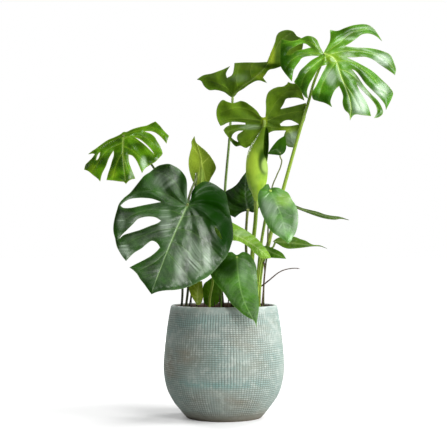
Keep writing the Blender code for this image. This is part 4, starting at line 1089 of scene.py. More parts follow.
def to_line(points, line):
    """Each point's distance to a line, and how far along the line that is."""
    starts = line[:-1]
    steps = line[1:] - starts
    lengths = np.hypot(steps[:, 0], steps[:, 1])
    runs = np.concatenate(([0.0], np.cumsum(lengths)[:-1]))
    gaps = np.empty(len(points))
    along = np.empty(len(points))
    block = 4000
    for first in range(0, len(points), block):
        some = points[first:first + block]
        rel = some[:, None, :] - starts[None, :, :]
        t = np.clip((rel * steps).sum(2) / lengths ** 2, 0.0, 1.0)
        off = rel - steps[None, :, :] * t[:, :, None]
        gap = np.hypot(off[:, :, 0], off[:, :, 1])
        best = gap.argmin(1)
        rows = np.arange(len(some))
        gaps[first:first + block] = gap[rows, best]
        along[first:first + block] = runs[best] + lengths[best] * t[rows, best]
    return gaps, along


def to_nearest(points, lines):
    """Each point's distance to the nearest of several lines."""
    gaps = np.full(len(points), 1e3)
    for line in lines:
        gaps = np.minimum(gaps, to_line(points, line)[0])
    return gaps


def grown_veins(loops, midrib):
    """Side veins of an undivided leaf: they leave the midrib on both sides and bend towards the tip."""
    lengths = np.hypot(*np.diff(midrib, axis=0).T)
    total = lengths.sum()
    runs = np.concatenate(([0.0], np.cumsum(lengths)))
    veins = []
    count = max(4, round(total / VEIN_SPACING_SQUARES))
    for k in range(count):
        share = (k + 0.35) / (count + 0.6)
        foot, ahead = (np.array([np.interp(run, runs, midrib[:, 0]), np.interp(run, runs, midrib[:, 1])])
                       for run in (share * total, share * total + 2.0))
        heading = math.atan2(ahead[1] - foot[1], ahead[0] - foot[0])
        for sense in (-1.0, 1.0):
            turn = heading + sense * math.radians(VEIN_OUT_DEGREES - VEIN_TIPWARD_DEGREES * share ** 0.7)
            line = [foot]
            for _ in range(VEIN_REACH_SQUARES):
                line.append(line[-1] + np.array([math.cos(turn), math.sin(turn)]))
                turn -= sense * math.radians(VEIN_BEND_DEGREES)
                if not inside(line[-1][None, :], loops)[0]:
                    break
            if len(line) > 3:
                veins.append(np.array(line[:-1]))
    return veins


def blade_depth(leaf, points, midrib):
    """How far behind the pot's axis the blade lies at each drawn point, before its relief."""
    column, row, depth = leaf["attach"]
    right = (points[:, 0] - column) * SQUARE
    up = (row - points[:, 1]) * SQUARE
    away, along = to_line(points, midrib)
    away = away * SQUARE
    along = along * SQUARE
    ripple = leaf["wave"] * np.sin(9 * np.arctan2(up, right) + 60 * away) * np.minimum(1.0, away / 0.06)
    sense = -1.0 if leaf["under"] else 1.0
    arched = sense * leaf["arch"] * away ** 2 / (1.0 + 4.0 * away)
    across, upward = leaf["slope"]
    shape = depth + across * right + upward * up + arched + leaf["bend"] * along ** 2 + ripple
    return shape, away, along


def merging_key(x, y):
    """The same for drawn points so close that only one of them is kept."""
    return round(x * MERGES_PER_SQUARE), round(y * MERGES_PER_SQUARE)


def points_beside(loops, lines, taken):
    """Drawn points in rows beside the veins, clear of the margin and of the points already taken."""
    points = []
    for line in lines:
        ahead = np.gradient(line, axis=0)
        across = np.stack([-ahead[:, 1], ahead[:, 0]], 1) / np.hypot(ahead[:, 0], ahead[:, 1])[:, None]
        for offset in BESIDE_VEIN_SQUARES:
            beside = line + across * offset
            kept = inside(beside, loops) & (to_nearest(beside, closed(loops)) > CLEAR_OF_EDGE_SQUARES)
            for x, y in beside[kept]:
                if merging_key(x, y) not in taken:
                    taken.add(merging_key(x, y))
                    points.append((x, y))
    return points


def grid_points(loops, lines):
    """Drawn points in a grid of triangles over the blade, clear of its margin and veins."""
    low = loops[0].min(0)
    high = loops[0].max(0)
    rows = np.arange(low[1], high[1], GRID_SQUARES * math.sqrt(0.75))
    columns = np.arange(low[0], high[0], GRID_SQUARES)
    shifts = (0.0, GRID_SQUARES / 2)
    grid = np.array([(x + shifts[k % 2], y) for k, y in enumerate(rows) for x in columns])
    grid = grid[inside(grid, loops)]
    grid = grid[to_nearest(grid, closed(loops)) > GRID_SQUARES * 0.5]
    return [tuple(p) for p in grid[to_nearest(grid, lines) > CLEAR_OF_VEIN_SQUARES]]


def flat_blade(loops, lines):
    """Points and triangles of the drawn blade, with its margin and veins kept as edges."""
    points = []
    edges = []
    for loop in loops:
        first = len(points)
        points += [tuple(p) for p in loop]
        edges += [(first + i, first + (i + 1) % len(loop)) for i in range(len(loop))]
    for line in lines:
        first = len(points)
        points += [tuple(p) for p in line]
        edges += [(first + i, first + i + 1) for i in range(len(line) - 1)]
    points += points_beside(loops, lines, {merging_key(x, y) for x, y in points})
    points += grid_points(loops, lines)
    found = delaunay_2d_cdt([Vector(p) for p in points], edges, [], 0, 1e-4)
    flat = np.array([tuple(v) for v in found[0]])
    faces = np.array([tuple(face) for face in found[2]])
    faces = faces[inside(flat[faces].mean(1), loops)]
    used = np.unique(faces)
    index = np.full(len(flat), -1)
    index[used] = np.arange(len(used))
    return flat[used], index[faces]


def zone_shares(name, columns, rows):
    """How strong each tone of the blade's soft zones is at the drawn places."""
    shares = {tone: columns * 0.0 for tone in ("dark", "gold", "painted_shadow", "painted_sheen", "lime")}
    for tone, column, row, wide, tall, strength in ZONES.get(name, []):
        reach = ((columns - column) / wide) ** 2 + ((rows - row) / tall) ** 2
        falloff = 4.0 if tone in CRISP_TONES else 2.0
        shares[tone] = np.maximum(shares[tone], strength * np.exp(-reach ** falloff))
    return shares


def drawn_noise(flat, per_square, level):
    """Smooth noise at each drawn point."""
    return np.array([noise.noise(Vector((x * per_square, y * per_square, level))) for x, y in flat])


def add_attribute(mesh, name, values):
    mesh.attributes.new(name, "FLOAT", "POINT").data.foreach_set("value", np.asarray(values, np.float32))


def add_to_both_faces(mesh, marks):
    """Adds attributes to a sheet, whose points are those of its front and then those of its back."""
    for name, values in marks.items():
        add_attribute(mesh, name, np.tile(values, 2))


def new_piece(name, verts, faces, finishes, replaced, sharp=50):
    """A named piece of the visible model, riding on the root body in the place of a model's node."""
    mesh = bpy.data.meshes.new(name)
    mesh.from_pydata(verts, [], faces)
    mesh.shade_smooth()
    mesh.set_sharp_from_angle(angle=math.radians(sharp))
    for finish in finishes:
        mesh.materials.append(finish)
    piece = bpy.data.objects.new(name, mesh)
    bpy.context.scene.collection.objects.link(piece)
    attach(piece, "root")
    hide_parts(replaced)
    return piece


def rim_strip(faces, count):
    """Quads that close a sheet all round, between its front and its back points, count further on."""
    directed = {(a, b) for face in faces for a, b in zip(face, face[1:] + face[:1])}
    return [(b, a, a + count, b + count) for a, b in sorted(directed) if (b, a) not in directed]


def thick_sheet(middle, faces, front_half, back_half):
    """A closed sheet from its middle surface and its half thickness on both faces; the front faces the viewer."""
    a = middle[faces[:, 0]]
    normals = np.cross(middle[faces[:, 1]] - a, middle[faces[:, 2]] - a)
    away = normals[:, 1] > 0
    faces = faces.copy()
    faces[away] = faces[away][:, [0, 2, 1]]
    normals[away] *= -1
    sums = np.zeros_like(middle)
    for k in range(3):
        np.add.at(sums, faces[:, k], normals)
    sums /= np.maximum(np.linalg.norm(sums, axis=1), 1e-12)[:, None]
    front = middle + sums * front_half[:, None]
    back = middle - sums * back_half[:, None]
    count = len(middle)
    strip = rim_strip(faces.tolist(), count)
    return np.vstack([front, back]), faces, faces[:, ::-1] + count, strip


class Lie:
    """How each drawn point of a blade lies to its midrib, veins and margin, in metres."""

    def __init__(self, name, flat, loops, midrib, veins):
        self.flat = flat
        self.depth, self.away, self.along = blade_depth(LEAVES[name], flat, midrib)
        self.share = self.along / self.along.max()
        self.to_vein = to_nearest(flat, veins) * SQUARE
        self.to_edge = to_nearest(flat, closed(loops)) * SQUARE
        self.nearest = np.minimum(self.away, self.to_vein)
        self.rib = np.exp(-(self.away / (RIB_WIDTH * (1.25 - 0.9 * self.share))) ** 2)
        fading = np.clip(self.to_edge / 0.008, 0.1, 1.0) * np.exp(-self.away / 0.10)
        self.vein = np.exp(-(self.to_vein / VEIN_WIDTH) ** 2) * fading
        self.course = look_of(name)["slant"] * self.along - 0.75 * self.away + 1.5 * self.away ** 2
        self.drift = drawn_noise(flat, DRIFT_PER_SQUARE, 3.0) * PLEAT_DRIFT


def blade_relief(name, lie):
    """How far back the blade's quilting, curled margin, swelling and pleats move each point."""
    look = look_of(name)
    sense = -1.0 if LEAVES[name]["under"] else 1.0
    quilt = QUILT_HEIGHT * look["quilt"] * np.exp(-lie.nearest / QUILT_WIDTH)
    curl = look["curl"] * np.exp(-(lie.to_edge / CURL_WIDTH) ** 1.5)
    swell = drawn_noise(lie.flat, SWELL_PER_SQUARE, 0.0) * SWELL_HEIGHT * look["swell"]
    room = np.clip(lie.away / 0.012, 0.0, 1.0) * np.clip(lie.to_edge / 0.010, 0.0, 1.0)
    waves = np.sin(2 * math.pi * (lie.course + lie.drift) / PLEAT_PITCH)
    return sense * (quilt + curl) + swell + look["pleat"] * PLEAT_HEIGHT * room * waves


def blade_halves(name, lie):
    """The blade's half thickness to the front and to the back, with ribs raised on the underside."""
    half = np.full(len(lie.flat), BLADE_THICKNESS / 2)
    ribs = RIB_HEIGHT * lie.rib * (1.0 - 0.7 * lie.share) + VEIN_HEIGHT * lie.vein * look_of(name)["veins"]
    furrows = FURROW_DEPTH * np.maximum(lie.rib, lie.vein)
    if LEAVES[name]["under"]:
        return half + ribs, half - furrows
    return half - furrows, half + ribs


def blade_marks(name, lie):
    """The attributes that a blade's materials read."""
    look = look_of(name)
    marks = {"rib": lie.rib, "vein": lie.vein, "halo": np.exp(-lie.nearest / HALO_WIDTH), "course": lie.course,
             "margin": np.exp(-(lie.to_edge / MARGIN_WIDTH) ** 2), "heart": lie.along * 0.0}
    if look["heart"]:
        marks["heart"] = np.exp(-(np.hypot(lie.away, lie.along) / look["heart"]) ** 2)
    marks.update(zone_shares(name, lie.flat[:, 0], lie.flat[:, 1]))
    # The painted sheen is broken into streaks along the course of the pleats
    spots = (lie.course + lie.drift) / STREAK_PITCH
    bands = np.array([noise.noise(Vector((spot, 5.0, 0.0))) for spot in spots])
    marks["painted_sheen"] *= np.clip(1.0 + look["streak"] * (2.6 * bands - 0.4), 0.0, 1.6)
    return marks


def make_blade(name):
    """A leaf's blade at full fineness."""
    leaf = LEAVES[name]
    loops = [smooth_loop(loop, OUTLINE_SQUARES) for loop in [leaf["outline"]] + leaf["holes"]]
    midrib = smooth_line(leaf["midrib"], VEIN_SQUARES)
    veins = [smooth_line(line, VEIN_SQUARES) for line in leaf["veins"]] or grown_veins(loops, midrib)
    flat, faces = flat_blade(loops, [midrib] + veins)
    lie = Lie(name, flat, loops, midrib, veins)
    middle = lift_all(flat, lie.depth + blade_relief(name, lie))
    verts, front, back, strip = thick_sheet(middle, faces, *blade_halves(name, lie))
    all_faces = front.tolist() + back.tolist() + strip
    piece = new_piece("leaf_" + name, verts.tolist(), all_faces, leaf_finishes(name),
                      "blade_" + name)
    first_under = 0 if leaf["under"] else len(front)
    finish_index = np.zeros(len(all_faces), np.int32)
    finish_index[first_under:first_under + len(front)] = 1
    piece.data.polygons.foreach_set("material_index", finish_index)
    add_to_both_faces(piece.data, blade_marks(name, lie))


def tube(points, radii, sides):
    """Vertices and faces of a closed tube along points, with a radius for each vertex."""
    verts = []
    faces = []
    across = None
    for i, point in enumerate(points):
        along = (points[min(i + 1, len(points) - 1)] - points[max(i - 1, 0)]).normalized()
        if across is None:
            across = along.orthogonal().normalized()
        across = (across - along * across.dot(along)).normalized()
        side = along.cross(across)
        for j in range(sides):
            turn = 2 * math.pi * j / sides
            verts.append(point + (across * math.cos(turn) + side * math.sin(turn)) * radii[i][j])
    for i in range(len(points) - 1):
        for j in range(sides):
            low = i * sides + j
            low_next = i * sides + (j + 1) % sides
            faces.append((low, low_next, low_next + sides, low + sides))
    faces.append(tuple(reversed(range(sides))))
    faces.append(tuple(range(len(verts) - sides, len(verts))))
    return verts, faces


def blade_normal(name):
    """The blade's unit normal at its joint, on the side away from the stalk."""
    leaf = LEAVES[name]
    column, row, _ = leaf["attach"]
    step = 2.0
    spots = np.array([(column, row + step), (column + step, row + step), (column, row)])
    depths = blade_depth(leaf, spots, np.array(leaf["midrib"]))[0]
    a, b, c = (Vector(p) for p in lift_all(spots, depths))
    normal = (b - a).cross(c - a).normalized()
    if normal.y > 0:
        normal = -normal
    return -normal if leaf["under"] else normal


def stalk_points(name):
    """A stalk's route, with its last stretch turned square to the blade that it carries."""
    points = [lift(*spot) for spot in STALKS[name]["route"]]
    points.insert(0, Vector((points[0].x, points[0].y, ROOTED_LEVEL)))
    joint = lift(*LEAVES[name]["attach"])
    if name == "new_roll":
        return points + [joint - Vector((0.0, 0.0, JOINT_LENGTH)), joint]
    normal = blade_normal(name)
    turn = (normal * JOINT_SQUARENESS + (joint - points[-1]).normalized()).normalized()
    end = joint - normal * BLADE_THICKNESS / 2
    return points + [end - turn * JOINT_LENGTH, end]


def run_shares(points):
    """How far along a route each of its points lies, from 0 to 1, and the route's length."""
    runs = [0.0]
    for a, b in zip(points, points[1:]):
        runs.append(runs[-1] + (b - a).length)
    return [run / runs[-1] for run in runs], runs[-1]


def make_stalk(name, finish):
    """A stalk with a shallow channel along it and the swollen, wrinkled joint below its blade."""
    points = smooth_route(stalk_points(name), STALK_STEP)
    shares, total = run_shares(points)
    base, tip = STALKS[name]["radii"]
    radii = []
    joints = []
    for point, share in zip(points, shares):
        to_end = (1.0 - share) * total
        joint = math.exp(-((to_end - SWELLING_PLACE) / SWELLING_LENGTH) ** 2)
        wrinkle = WRINKLE * joint * math.sin(to_end * WRINKLES_PER_METRE)
        radius = (base + (tip - base) * share ** 0.6) * (1.0 + SWELLING * joint + wrinkle)
        radius *= 1.0 + 0.03 * noise.noise(point * 60.0)
        channel = 0.10 * (1.0 - joint)
        radii.append([radius * (1.0 - channel * math.exp(-(((j / STALK_SIDES) - 0.5) / 0.09) ** 2))
                      for j in range(STALK_SIDES)])
        joints.append(joint * 0.7)
    verts, faces = tube(points, radii, STALK_SIDES)
    piece = new_piece("petiole_" + name, verts, faces, [finish], "stalk_" + name)
    add_attribute(piece.data, "run", np.repeat(shares, STALK_SIDES))
    add_attribute(piece.data, "joint", np.repeat(joints, STALK_SIDES))


def knob(point, j):
    """Noise on the bark at one side of the root."""
    turn = 2 * math.pi * j / ROOT_SIDES
    place = Vector((point.x * 220.0 + math.cos(turn), point.z * 220.0 + math.sin(turn), j * 0.2))
    return 0.16 * noise.noise(place)


def make_root(name, finish):
    """An aerial root with knobbly bark and a blunt tip."""
    points = [lift(*spot) for spot in ROOTS[name]["route"]]
    if ROOTS[name]["rooted"]:
        points.append(Vector((points[-1].x, points[-1].y, ROOTED_LEVEL)))
    curve = smooth_route(points, ROOT_STEP)
    shares, total = run_shares(curve)
    base, tip = ROOTS[name]["radii"]
    radii = []
    for point, share in zip(curve, shares):
        blunt = min(1.0, 0.25 + (1.0 - share) * total / 0.006)
        radius = (base + (tip - base) * share ** 0.6) * blunt
        radii.append([radius * (1.0 + knob(point, j)) for j in range(ROOT_SIDES)])
    verts, faces = tube(curve, radii, ROOT_SIDES)
    new_piece("bark_" + name, verts, faces, [finish], name)


def roll_ring(rings, position):
    """The scroll's row, columns and turns at a place between its drawn rings."""
    index = min(int(position), len(rings) - 2)
    before = rings[max(index - 1, 0)]
    after = rings[min(index + 2, len(rings) - 1)]
    return between(before, rings[index], rings[index + 1], after, position - index)


def roll_points():
    """The scroll's middle surface, its outward directions, and its shares up and across."""
    depth = LEAVES["new_roll"]["attach"][2]
    rings = np.array(ROLL_RINGS, float)
    middle = []
    outward = []
    shares = []
    for i in range(ROLL_ROWS + 1):
        row, left, right, first, last = roll_ring(rings, i / ROLL_ROWS * (len(rings) - 1))
        radius = (right - left) / (2.0 - 1.5 * ROLL_INWARD) * SQUARE
        centre = lift(left, row, depth) + Vector((radius * (1.0 - ROLL_INWARD / 2), 0.0, 0.0))
        for j in range(ROLL_COLUMNS + 1):
            t = j / ROLL_COLUMNS
            angle = math.radians(first + (last - first) * t)
            flare = 1.0 + 0.10 * math.exp(-t / 0.05)
            way = Vector((math.cos(angle), math.sin(angle), 0.0))
            middle.append(tuple(centre + way * radius * (1.0 - ROLL_INWARD * t) * flare))
            outward.append(tuple(way))
            shares.append((i / ROLL_ROWS, t))
    return np.array(middle), np.array(outward), np.array(shares)


def roll_marks(middle, tall, wide):
    """The attributes that the scroll's materials read."""
    none = np.zeros(len(middle))
    marks = {"rib": np.exp(-((wide - 0.5) / 0.012) ** 2), "vein": none, "halo": none, "heart": none,
             "course": wide * 0.10 + tall * 0.03,
             "margin": np.exp(-(np.minimum(wide, 1.0 - wide) / 0.01) ** 2)}
    near = -STATION.y / (middle[:, 1] - STATION.y)
    columns = AXIS_COLUMN + middle[:, 0] * near / SQUARE
    rows = FLOOR_ROW - (STATION.z + (middle[:, 2] - STATION.z) * near) / SQUARE
    marks.update(zone_shares("new_roll", columns, rows))
    return marks


def make_roll():
    """The newest leaf, still half rolled: a tapered scroll with its free edge open to the right."""
    middle, outward, shares = roll_points()
    around = ROLL_COLUMNS + 1
    count = len(middle)
    quads = []
    for i in range(ROLL_ROWS):
        for j in range(ROLL_COLUMNS):
            low = i * around + j
            quads.append((low, low + around, low + around + 1, low + 1))
    faces = quads + [(d + count, c + count, b + count, a + count) for a, b, c, d in quads]
    faces += rim_strip(quads, count)
    half = BLADE_THICKNESS / 2
    verts = np.vstack([middle + outward * half, middle - outward * half])
    piece = new_piece("leaf_new_roll", verts.tolist(), faces, leaf_finishes("new_roll"),
                      "blade_new_roll")
    add_to_both_faces(piece.data, roll_marks(middle, shares[:, 0], shares[:, 1]))


def pot_side():
    """Radius and height up the pot's outer side, from the foot to under the rim, on a smooth curve."""
    marks = [
        (POT_FOOT_RADIUS, 0.0), (0.0818, 0.0040), (0.0905, 0.0140), (0.1066, 0.0350), (0.1178, 0.0560),
        (0.1240, 0.0790), (POT_RADIUS, 0.1060), (0.1248, 0.1400), (0.1202, 0.1820), (0.1160, 0.2080),
        (POT_RIM_RADIUS, SIDE_TOP),
    ]
    curve = smooth_route([Vector((radius, 0.0, height)) for radius, height in marks], 0.002)
    return np.array([p.x for p in curve]), np.array([p.z for p in curve])


def side_radii(heights):
    """The outer radius of the pot at each height."""
    radii, levels = pot_side()
    return [float(np.interp(height, levels, radii)) for height in heights]


def patch_share(tone, turn, height):
    """How strong a tone of the glaze is at a turn, in radians from the right, and a height."""
    strongest = 0.0
    for found, round_to, level, wide, tall, strength in GLAZE_PATCHES:
        if found == tone:
            apart = (math.degrees(turn) + 90.0 - round_to + 180.0) % 360.0 - 180.0
            reach = (apart / wide) ** 2 + ((height - level) / tall) ** 2
            strongest = max(strongest, strength * math.exp(-reach))
    return strongest


def score_rows():
    """Heights of the pot's rings of points, three to a scored line, and how deep each lies in its line."""
    rows = [(0.0, 0.0), (0.0015, 0.0), (0.0040, 0.0), (0.0085, 0.0)]
    height = SCORE_LOW
    while height < SCORE_HIGH:
        rows += [(height, 1.0), (height + 0.22 * SCORE_PITCH, 0.0), (height + 0.78 * SCORE_PITCH, 0.0)]
        height += SCORE_PITCH
    return rows + [(0.2265, 0.0), (SIDE_TOP, 0.0)]


def score_columns():
    """Places of points round the pot, in grooves, and how deep each lies in its groove."""
    columns = []
    for k in range(GROOVES):
        columns += [(k, 1.0), (k + 0.16, 0.0), (k + 0.5, 0.0), (k + 0.84, 0.0)]
    return columns


def scored_point(radius, height, turn, up, across):
    """A point of the pot's scored side, and how deep the scoring is there. Lines are cut unevenly."""
    fade = held((height - SCORE_START) / SCORE_FADE) * held((SCORE_END - height) / SCORE_FADE)
    spot = Vector((math.cos(turn), math.sin(turn), height * 8.0))
    turn += WAVER_TURN * noise.noise(Vector((spot.x * 5.0, spot.y * 5.0, height * 40.0)))
    waver = WAVER_HEIGHT * noise.noise(Vector((spot.x * 3.0, spot.y * 3.0, height * 60.0 + 7.0)))
    upright = up * (0.35 + 0.65 * held(0.5 + 1.6 * noise.noise(spot * 1.7)))
    beside = noise.noise(spot * 1.9 + Vector((9.0, 2.0, 4.0)))
    level = across * (0.30 + 0.70 * held(0.5 + 1.8 * beside))
    cut = max(upright, level) * fade
    uneven = UNEVEN_WALL * noise.noise(spot * 1.3) * min(1.0, height / 0.02)
    reach = radius - GROOVE_DEPTH * cut + uneven
    return (reach * math.cos(turn), reach * math.sin(turn), height + waver * fade), cut


def inner_rings():
    """Radius and height of the pot's plain rings, over the rim and down the inside, and which lie within."""
    half = POT_WALL / 2
    rings = []
    for j in range(1, 9):
        turn = math.pi * j / 8
        radius = POT_RIM_RADIUS - half + half * math.cos(turn)
        height = POT_HEIGHT - half - RIM_CROWN + (half + RIM_CROWN) * math.sin(turn)
        rings.append((radius, height, j > 5))
    levels = (0.220, 0.205, 0.175, 0.135, 0.100, 0.070, 0.045, 0.028, POT_FLOOR + 0.007)
    rings += [(radius - POT_WALL, level, True) for radius, level in zip(side_radii(levels), levels)]
    return rings + [(rings[-1][0] - 0.010, POT_FLOOR, True)]


def turned_faces(around, levels, outward):
    """Faces of a turned solid: a point on the axis, rings of points, and a last point on the axis."""
    faces = []
    top = 1 + (levels - 1) * around
    last = top + around
    for j in range(around):
        k = (j + 1) % around
        faces.append((0, 1 + k, 1 + j))
        for i in range(levels - 1):
            low = 1 + i * around
            faces.append((low + j, low + k, low + around + k, low + around + j))
        faces.append((top + j, top + k, last))
    return faces if outward else [(face[0], *reversed(face[1:])) for face in faces]


def make_pot(finish):
    """The pot as one closed turned shell, its outer side scored in a wavering grid."""
    columns = score_columns()
    turns = [2 * math.pi * place / GROOVES for place, _ in columns]
    rows = score_rows()
    verts = [(0.0, 0.0, 0.0)]
    marks = [(0.0, 1.0, 0.0)]
    for (height, across), radius in zip(rows, side_radii([height for height, _ in rows])):
        for turn, (_, up) in zip(turns, columns):
            point, cut = scored_point(radius, height, turn, up, across)
            verts.append(point)
            marks.append((cut, held(1.0 - height / BARE_FOOT), 0.0))
    plain = inner_rings()
    for radius, height, is_within in plain:
        for turn in turns:
            place = Vector((math.cos(turn) * 4.0, math.sin(turn) * 4.0, height * 30.0))
            reach = radius + 0.0003 * noise.noise(place)
            verts.append((reach * math.cos(turn), reach * math.sin(turn), height))
            marks.append((0.0, 0.0, float(is_within)))
    verts.append((0.0, 0.0, POT_FLOOR))
    marks.append((0.0, 0.0, 1.0))
    faces = turned_faces(len(columns), len(rows) + len(plain), True)
    piece = new_piece("glazed_pot", verts, faces, [finish], "pot", sharp=80)
    for name, values in zip(("score", "foot", "inside"), zip(*marks)):
        add_attribute(piece.data, name, values)
    for tone in ("worn", "teal"):
        shares = [patch_share(tone, math.atan2(y, x), z) for x, y, z in verts]
        add_attribute(piece.data, tone, shares)


def soil_top(radius):
    """Height of the soil at a distance from the axis: slightly mounded."""
    return SOIL_LEVEL + SOIL_RISE * math.cos(min(1.0, radius / 0.1) * math.pi / 2)


def chunk(random_source, size):
    """Vertices and faces of one rough crumb or chip about the origin."""
    long = size * random_source.uniform(0.8, 2.2)
    flat = size * random_source.uniform(0.35, 0.9)
    turn = random_source.uniform(0.0, math.pi)
    verts = []
    rings = 4
    sides = 6
    for i in range(1, rings):
        polar = math.pi * i / rings
        for j in range(sides):
            angle = 2 * math.pi * j / sides
            rough = random_source.uniform(0.75, 1.15)
            x = long * math.sin(polar) * math.cos(angle) * rough
            y = size * math.sin(polar) * math.sin(angle) * rough
            z = flat * math.cos(polar) * rough
            verts.append((x * math.cos(turn) - y * math.sin(turn), x * math.sin(turn) + y * math.cos(turn), z))
    verts += [(0.0, 0.0, flat), (0.0, 0.0, -flat)]
    faces = []
    for i in range(rings - 2):
        for j in range(sides):
            low = i * sides
            k = (j + 1) % sides
            faces.append((low + j, low + sides + j, low + sides + k, low + k))
    top = len(verts) - 2
    last = (rings - 2) * sides
    for j in range(sides):
        k = (j + 1) % sides
        faces.append((top, j, k))
        faces.append((top + 1, last + k, last + j))
    return verts, faces


class Soil:
    """The potting mix while it is put together: points, faces, and how much each point is bark."""

    def __init__(self):
        self.verts = []
        self.faces = []
        self.chips = []

    def add(self, points, faces, bark):
        first = len(self.verts)
        self.verts += [tuple(point) for point in points]
        self.faces += [tuple(first + i for i in face) for face in faces]
        self.chips += [bark] * len(points)


def soil_radius(height):
    return side_radii([height])[0] - POT_WALL - SOIL_GAP


def add_mound(soil, outer):
    """The lumpy mound and the plain body below it, down to the pot's floor."""
    turns = [2 * math.pi * j / SOIL_COLUMNS for j in range(SOIL_COLUMNS)]
    points = [(0.0, 0.0, soil_top(0.0))]
    for i in range(1, SOIL_ROWS + 1):
        radius = outer * i / SOIL_ROWS
        for turn in turns:
            spot = Vector((radius * math.cos(turn), radius * math.sin(turn), 0.0))
            lump = 0.0018 * noise.noise(spot * 90.0) + 0.0010 * noise.noise(spot * 260.0)
            points.append((spot.x, spot.y, soil_top(radius) + lump))
    lower = (0.135, 0.070, POT_FLOOR + 0.0078)
    for height in lower:
        radius = soil_radius(height)
        points += [(radius * math.cos(turn), radius * math.sin(turn), height) for turn in turns]
    points.append((0.0, 0.0, POT_FLOOR + 0.0003))
    soil.add(points, turned_faces(SOIL_COLUMNS, SOIL_ROWS + len(lower), False), 0.0)


def add_chunks(soil, outer):
    """Crumbs and bark chips lying on the mound."""
    source = random.Random(11)
    for _ in range(CRUMBS):
        radius = outer * 0.97 * math.sqrt(source.random())
        turn = source.uniform(0.0, 2 * math.pi)
        is_chip = source.random() < CHIP_SHARE
        size = source.uniform(*(CHIP_SIZES if is_chip else CRUMB_SIZES))
        points, faces = chunk(source, size)
        x0 = radius * math.cos(turn)
        y0 = radius * math.sin(turn)
        z0 = soil_top(radius) + size * 0.25
        bark = source.uniform(0.35, 1.0) if is_chip else source.uniform(0.0, 0.25)
        soil.add([(x + x0, y + y0, z + z0) for x, y, z in points], faces, bark)


def add_slivers(soil):
    """Dry sheaths at the stalks' feet: short ridged cones that lean forward."""
    for column, tip_column, tip_row, depth, thick in SLIVERS:
        foot = lift(column, SLIVER_FOOT_ROW, depth)
        foot.z = SOIL_LEVEL - 0.002
        tip = lift(tip_column, tip_row, depth)
        curve = smooth_route([foot, foot.lerp(tip, 0.6) + Vector((0.0, -0.003, 0.001)), tip], 0.003)
        ridges = [1.0 if j % 4 else 0.5 for j in range(SLIVER_SIDES)]
        tapers = [thick * (1.05 - i / (len(curve) - 1)) for i in range(len(curve))]
        points, faces = tube(curve, [[taper * ridge for ridge in ridges] for taper in tapers], SLIVER_SIDES)
        soil.add(points, faces, 0.18)


def make_soil(finish):
    """The potting mix: a lumpy mound with crumbs, bark chips and dry sheaths on it."""
    soil = Soil()
    outer = soil_radius(SOIL_LEVEL)
    add_mound(soil, outer)
    add_chunks(soil, outer)
    add_slivers(soil)
    piece = new_piece("potting_soil", soil.verts, soil.faces, [finish], "soil", sharp=35)
    add_attribute(piece.data, "chip", soil.chips)


def floor_material():
    """A plain pale floor. The camera sees it as bright as a white sweep, and it throws back less light."""
    tree = Tree("pale_floor")
    haze = tree.spread(tree.noise(tree.place(), 0.8, 1.0), 0.3, 0.7)
    tree.finish(tree.mix(haze, (0.60, 0.60, 0.60), (0.62, 0.62, 0.62)), 0.9)
    tree.put(tree.shader.inputs["Specular IOR Level"], 0.0)
    tree.put(tree.shader.inputs["Emission Color"], (1.0, 1.0, 1.0))
    away = tree.nodes.new("ShaderNodeVectorMath")
    away.operation = "LENGTH"
    tree.links.new(tree.place(), away.inputs[0])
    glow = tree.spread(away.outputs["Value"], GLOW_NEAR, GLOW_FAR, FLOOR_GLOW, 1.0)
    tree.put(tree.shader.inputs["Emission Strength"], glow)
    dim = tree.nodes.new("ShaderNodeBsdfDiffuse")
    dim.inputs["Color"].default_value = (FLOOR_BOUNCE, FLOOR_BOUNCE, FLOOR_BOUNCE, 1.0)
    seen = tree.nodes.new("ShaderNodeLightPath")
    choose = tree.nodes.new("ShaderNodeMixShader")
    tree.links.new(seen.outputs["Is Camera Ray"], choose.inputs[0])
    tree.links.new(dim.outputs[0], choose.inputs[1])
    tree.links.new(tree.shader.outputs[0], choose.inputs[2])
    tree.links.new(choose.outputs[0], tree.nodes["Material Output"].inputs["Surface"])
    return tree.material


def make_floor():
    mesh = bpy.data.meshes.new("floor")
    reach = FLOOR_REACH
    corners = [(-reach, -reach, 0.0), (reach, -reach, 0.0), (reach, reach, 0.0), (-reach, reach, 0.0)]
    mesh.from_pydata(corners, [], [(0, 1, 2, 3)])
    mesh.materials.append(floor_material())
    floor = bpy.data.objects.new("floor", mesh)
    bpy.context.scene.collection.objects.link(floor)


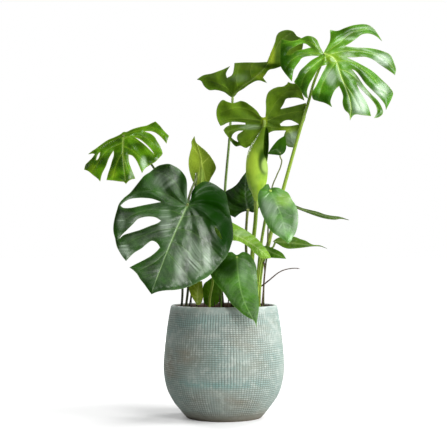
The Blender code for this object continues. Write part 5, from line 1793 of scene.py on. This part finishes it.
def make_lamps():
    for name, (azimuth, elevation, side, power) in LAMPS.items():
        turn = math.radians(azimuth)
        rise = math.radians(elevation)
        away = Vector((math.sin(turn) * math.cos(rise), -math.cos(turn) * math.cos(rise), math.sin(rise)))
        data = bpy.data.lights.new(name, "AREA")
        data.shape = "SQUARE"
        data.size = side
        data.energy = power
        lamp = bpy.data.objects.new(name, data)
        lamp.location = LAMP_TARGET + away * LAMP_DISTANCE
        lamp.rotation_euler = (-away).to_track_quat("-Z", "Y").to_euler()
        bpy.context.scene.collection.objects.link(lamp)


def make_world():
    """A white backdrop that throws only a little light on the plant."""
    world = bpy.data.worlds.new("studio")
    world.use_nodes = True
    nodes = world.node_tree.nodes
    links = world.node_tree.links
    seen = nodes.new("ShaderNodeLightPath")
    choose = nodes.new("ShaderNodeMix")
    choose.inputs[2].default_value = WORLD_LIGHT
    choose.inputs[3].default_value = 1.0
    links.new(seen.outputs["Is Camera Ray"], choose.inputs["Factor"])
    links.new(choose.outputs[0], nodes["Background"].inputs["Strength"])
    nodes["Background"].inputs["Color"].default_value = (1.0, 1.0, 1.0, 1.0)
    bpy.context.scene.world = world


def make_camera():
    """The photograph's view: level, from the station point, framed on the elevation's squares."""
    data = bpy.data.cameras.new("camera")
    width = IMAGE_SQUARES * SQUARE
    data.sensor_width = 36.0
    data.lens = data.sensor_width * -STATION.y / width
    middle = IMAGE_SQUARES / 2
    data.shift_x = (middle - AXIS_COLUMN) / IMAGE_SQUARES
    data.shift_y = ((FLOOR_ROW - middle) * SQUARE - STATION.z) / width
    camera = bpy.data.objects.new("camera", data)
    camera.location = STATION
    camera.rotation_euler = (math.radians(90), 0.0, 0.0)
    bpy.context.scene.collection.objects.link(camera)
    bpy.context.scene.camera = camera


def main():
    stalk_finishes = {tone: stalk_material(tone) for tone in STALK_TONES}
    root_finish = root_material()
    for name in LEAVES:
        if name == "new_roll":
            make_roll()
        else:
            make_blade(name)
        make_stalk(name, stalk_finishes[STALK_LOOKS[name]])
    for name in ROOTS:
        make_root(name, root_finish)
    make_pot(glaze_material())
    make_soil(soil_material())
    make_floor()
    make_lamps()
    make_world()
    make_camera()
    bpy.context.scene.view_settings.view_transform = "Standard"


main()
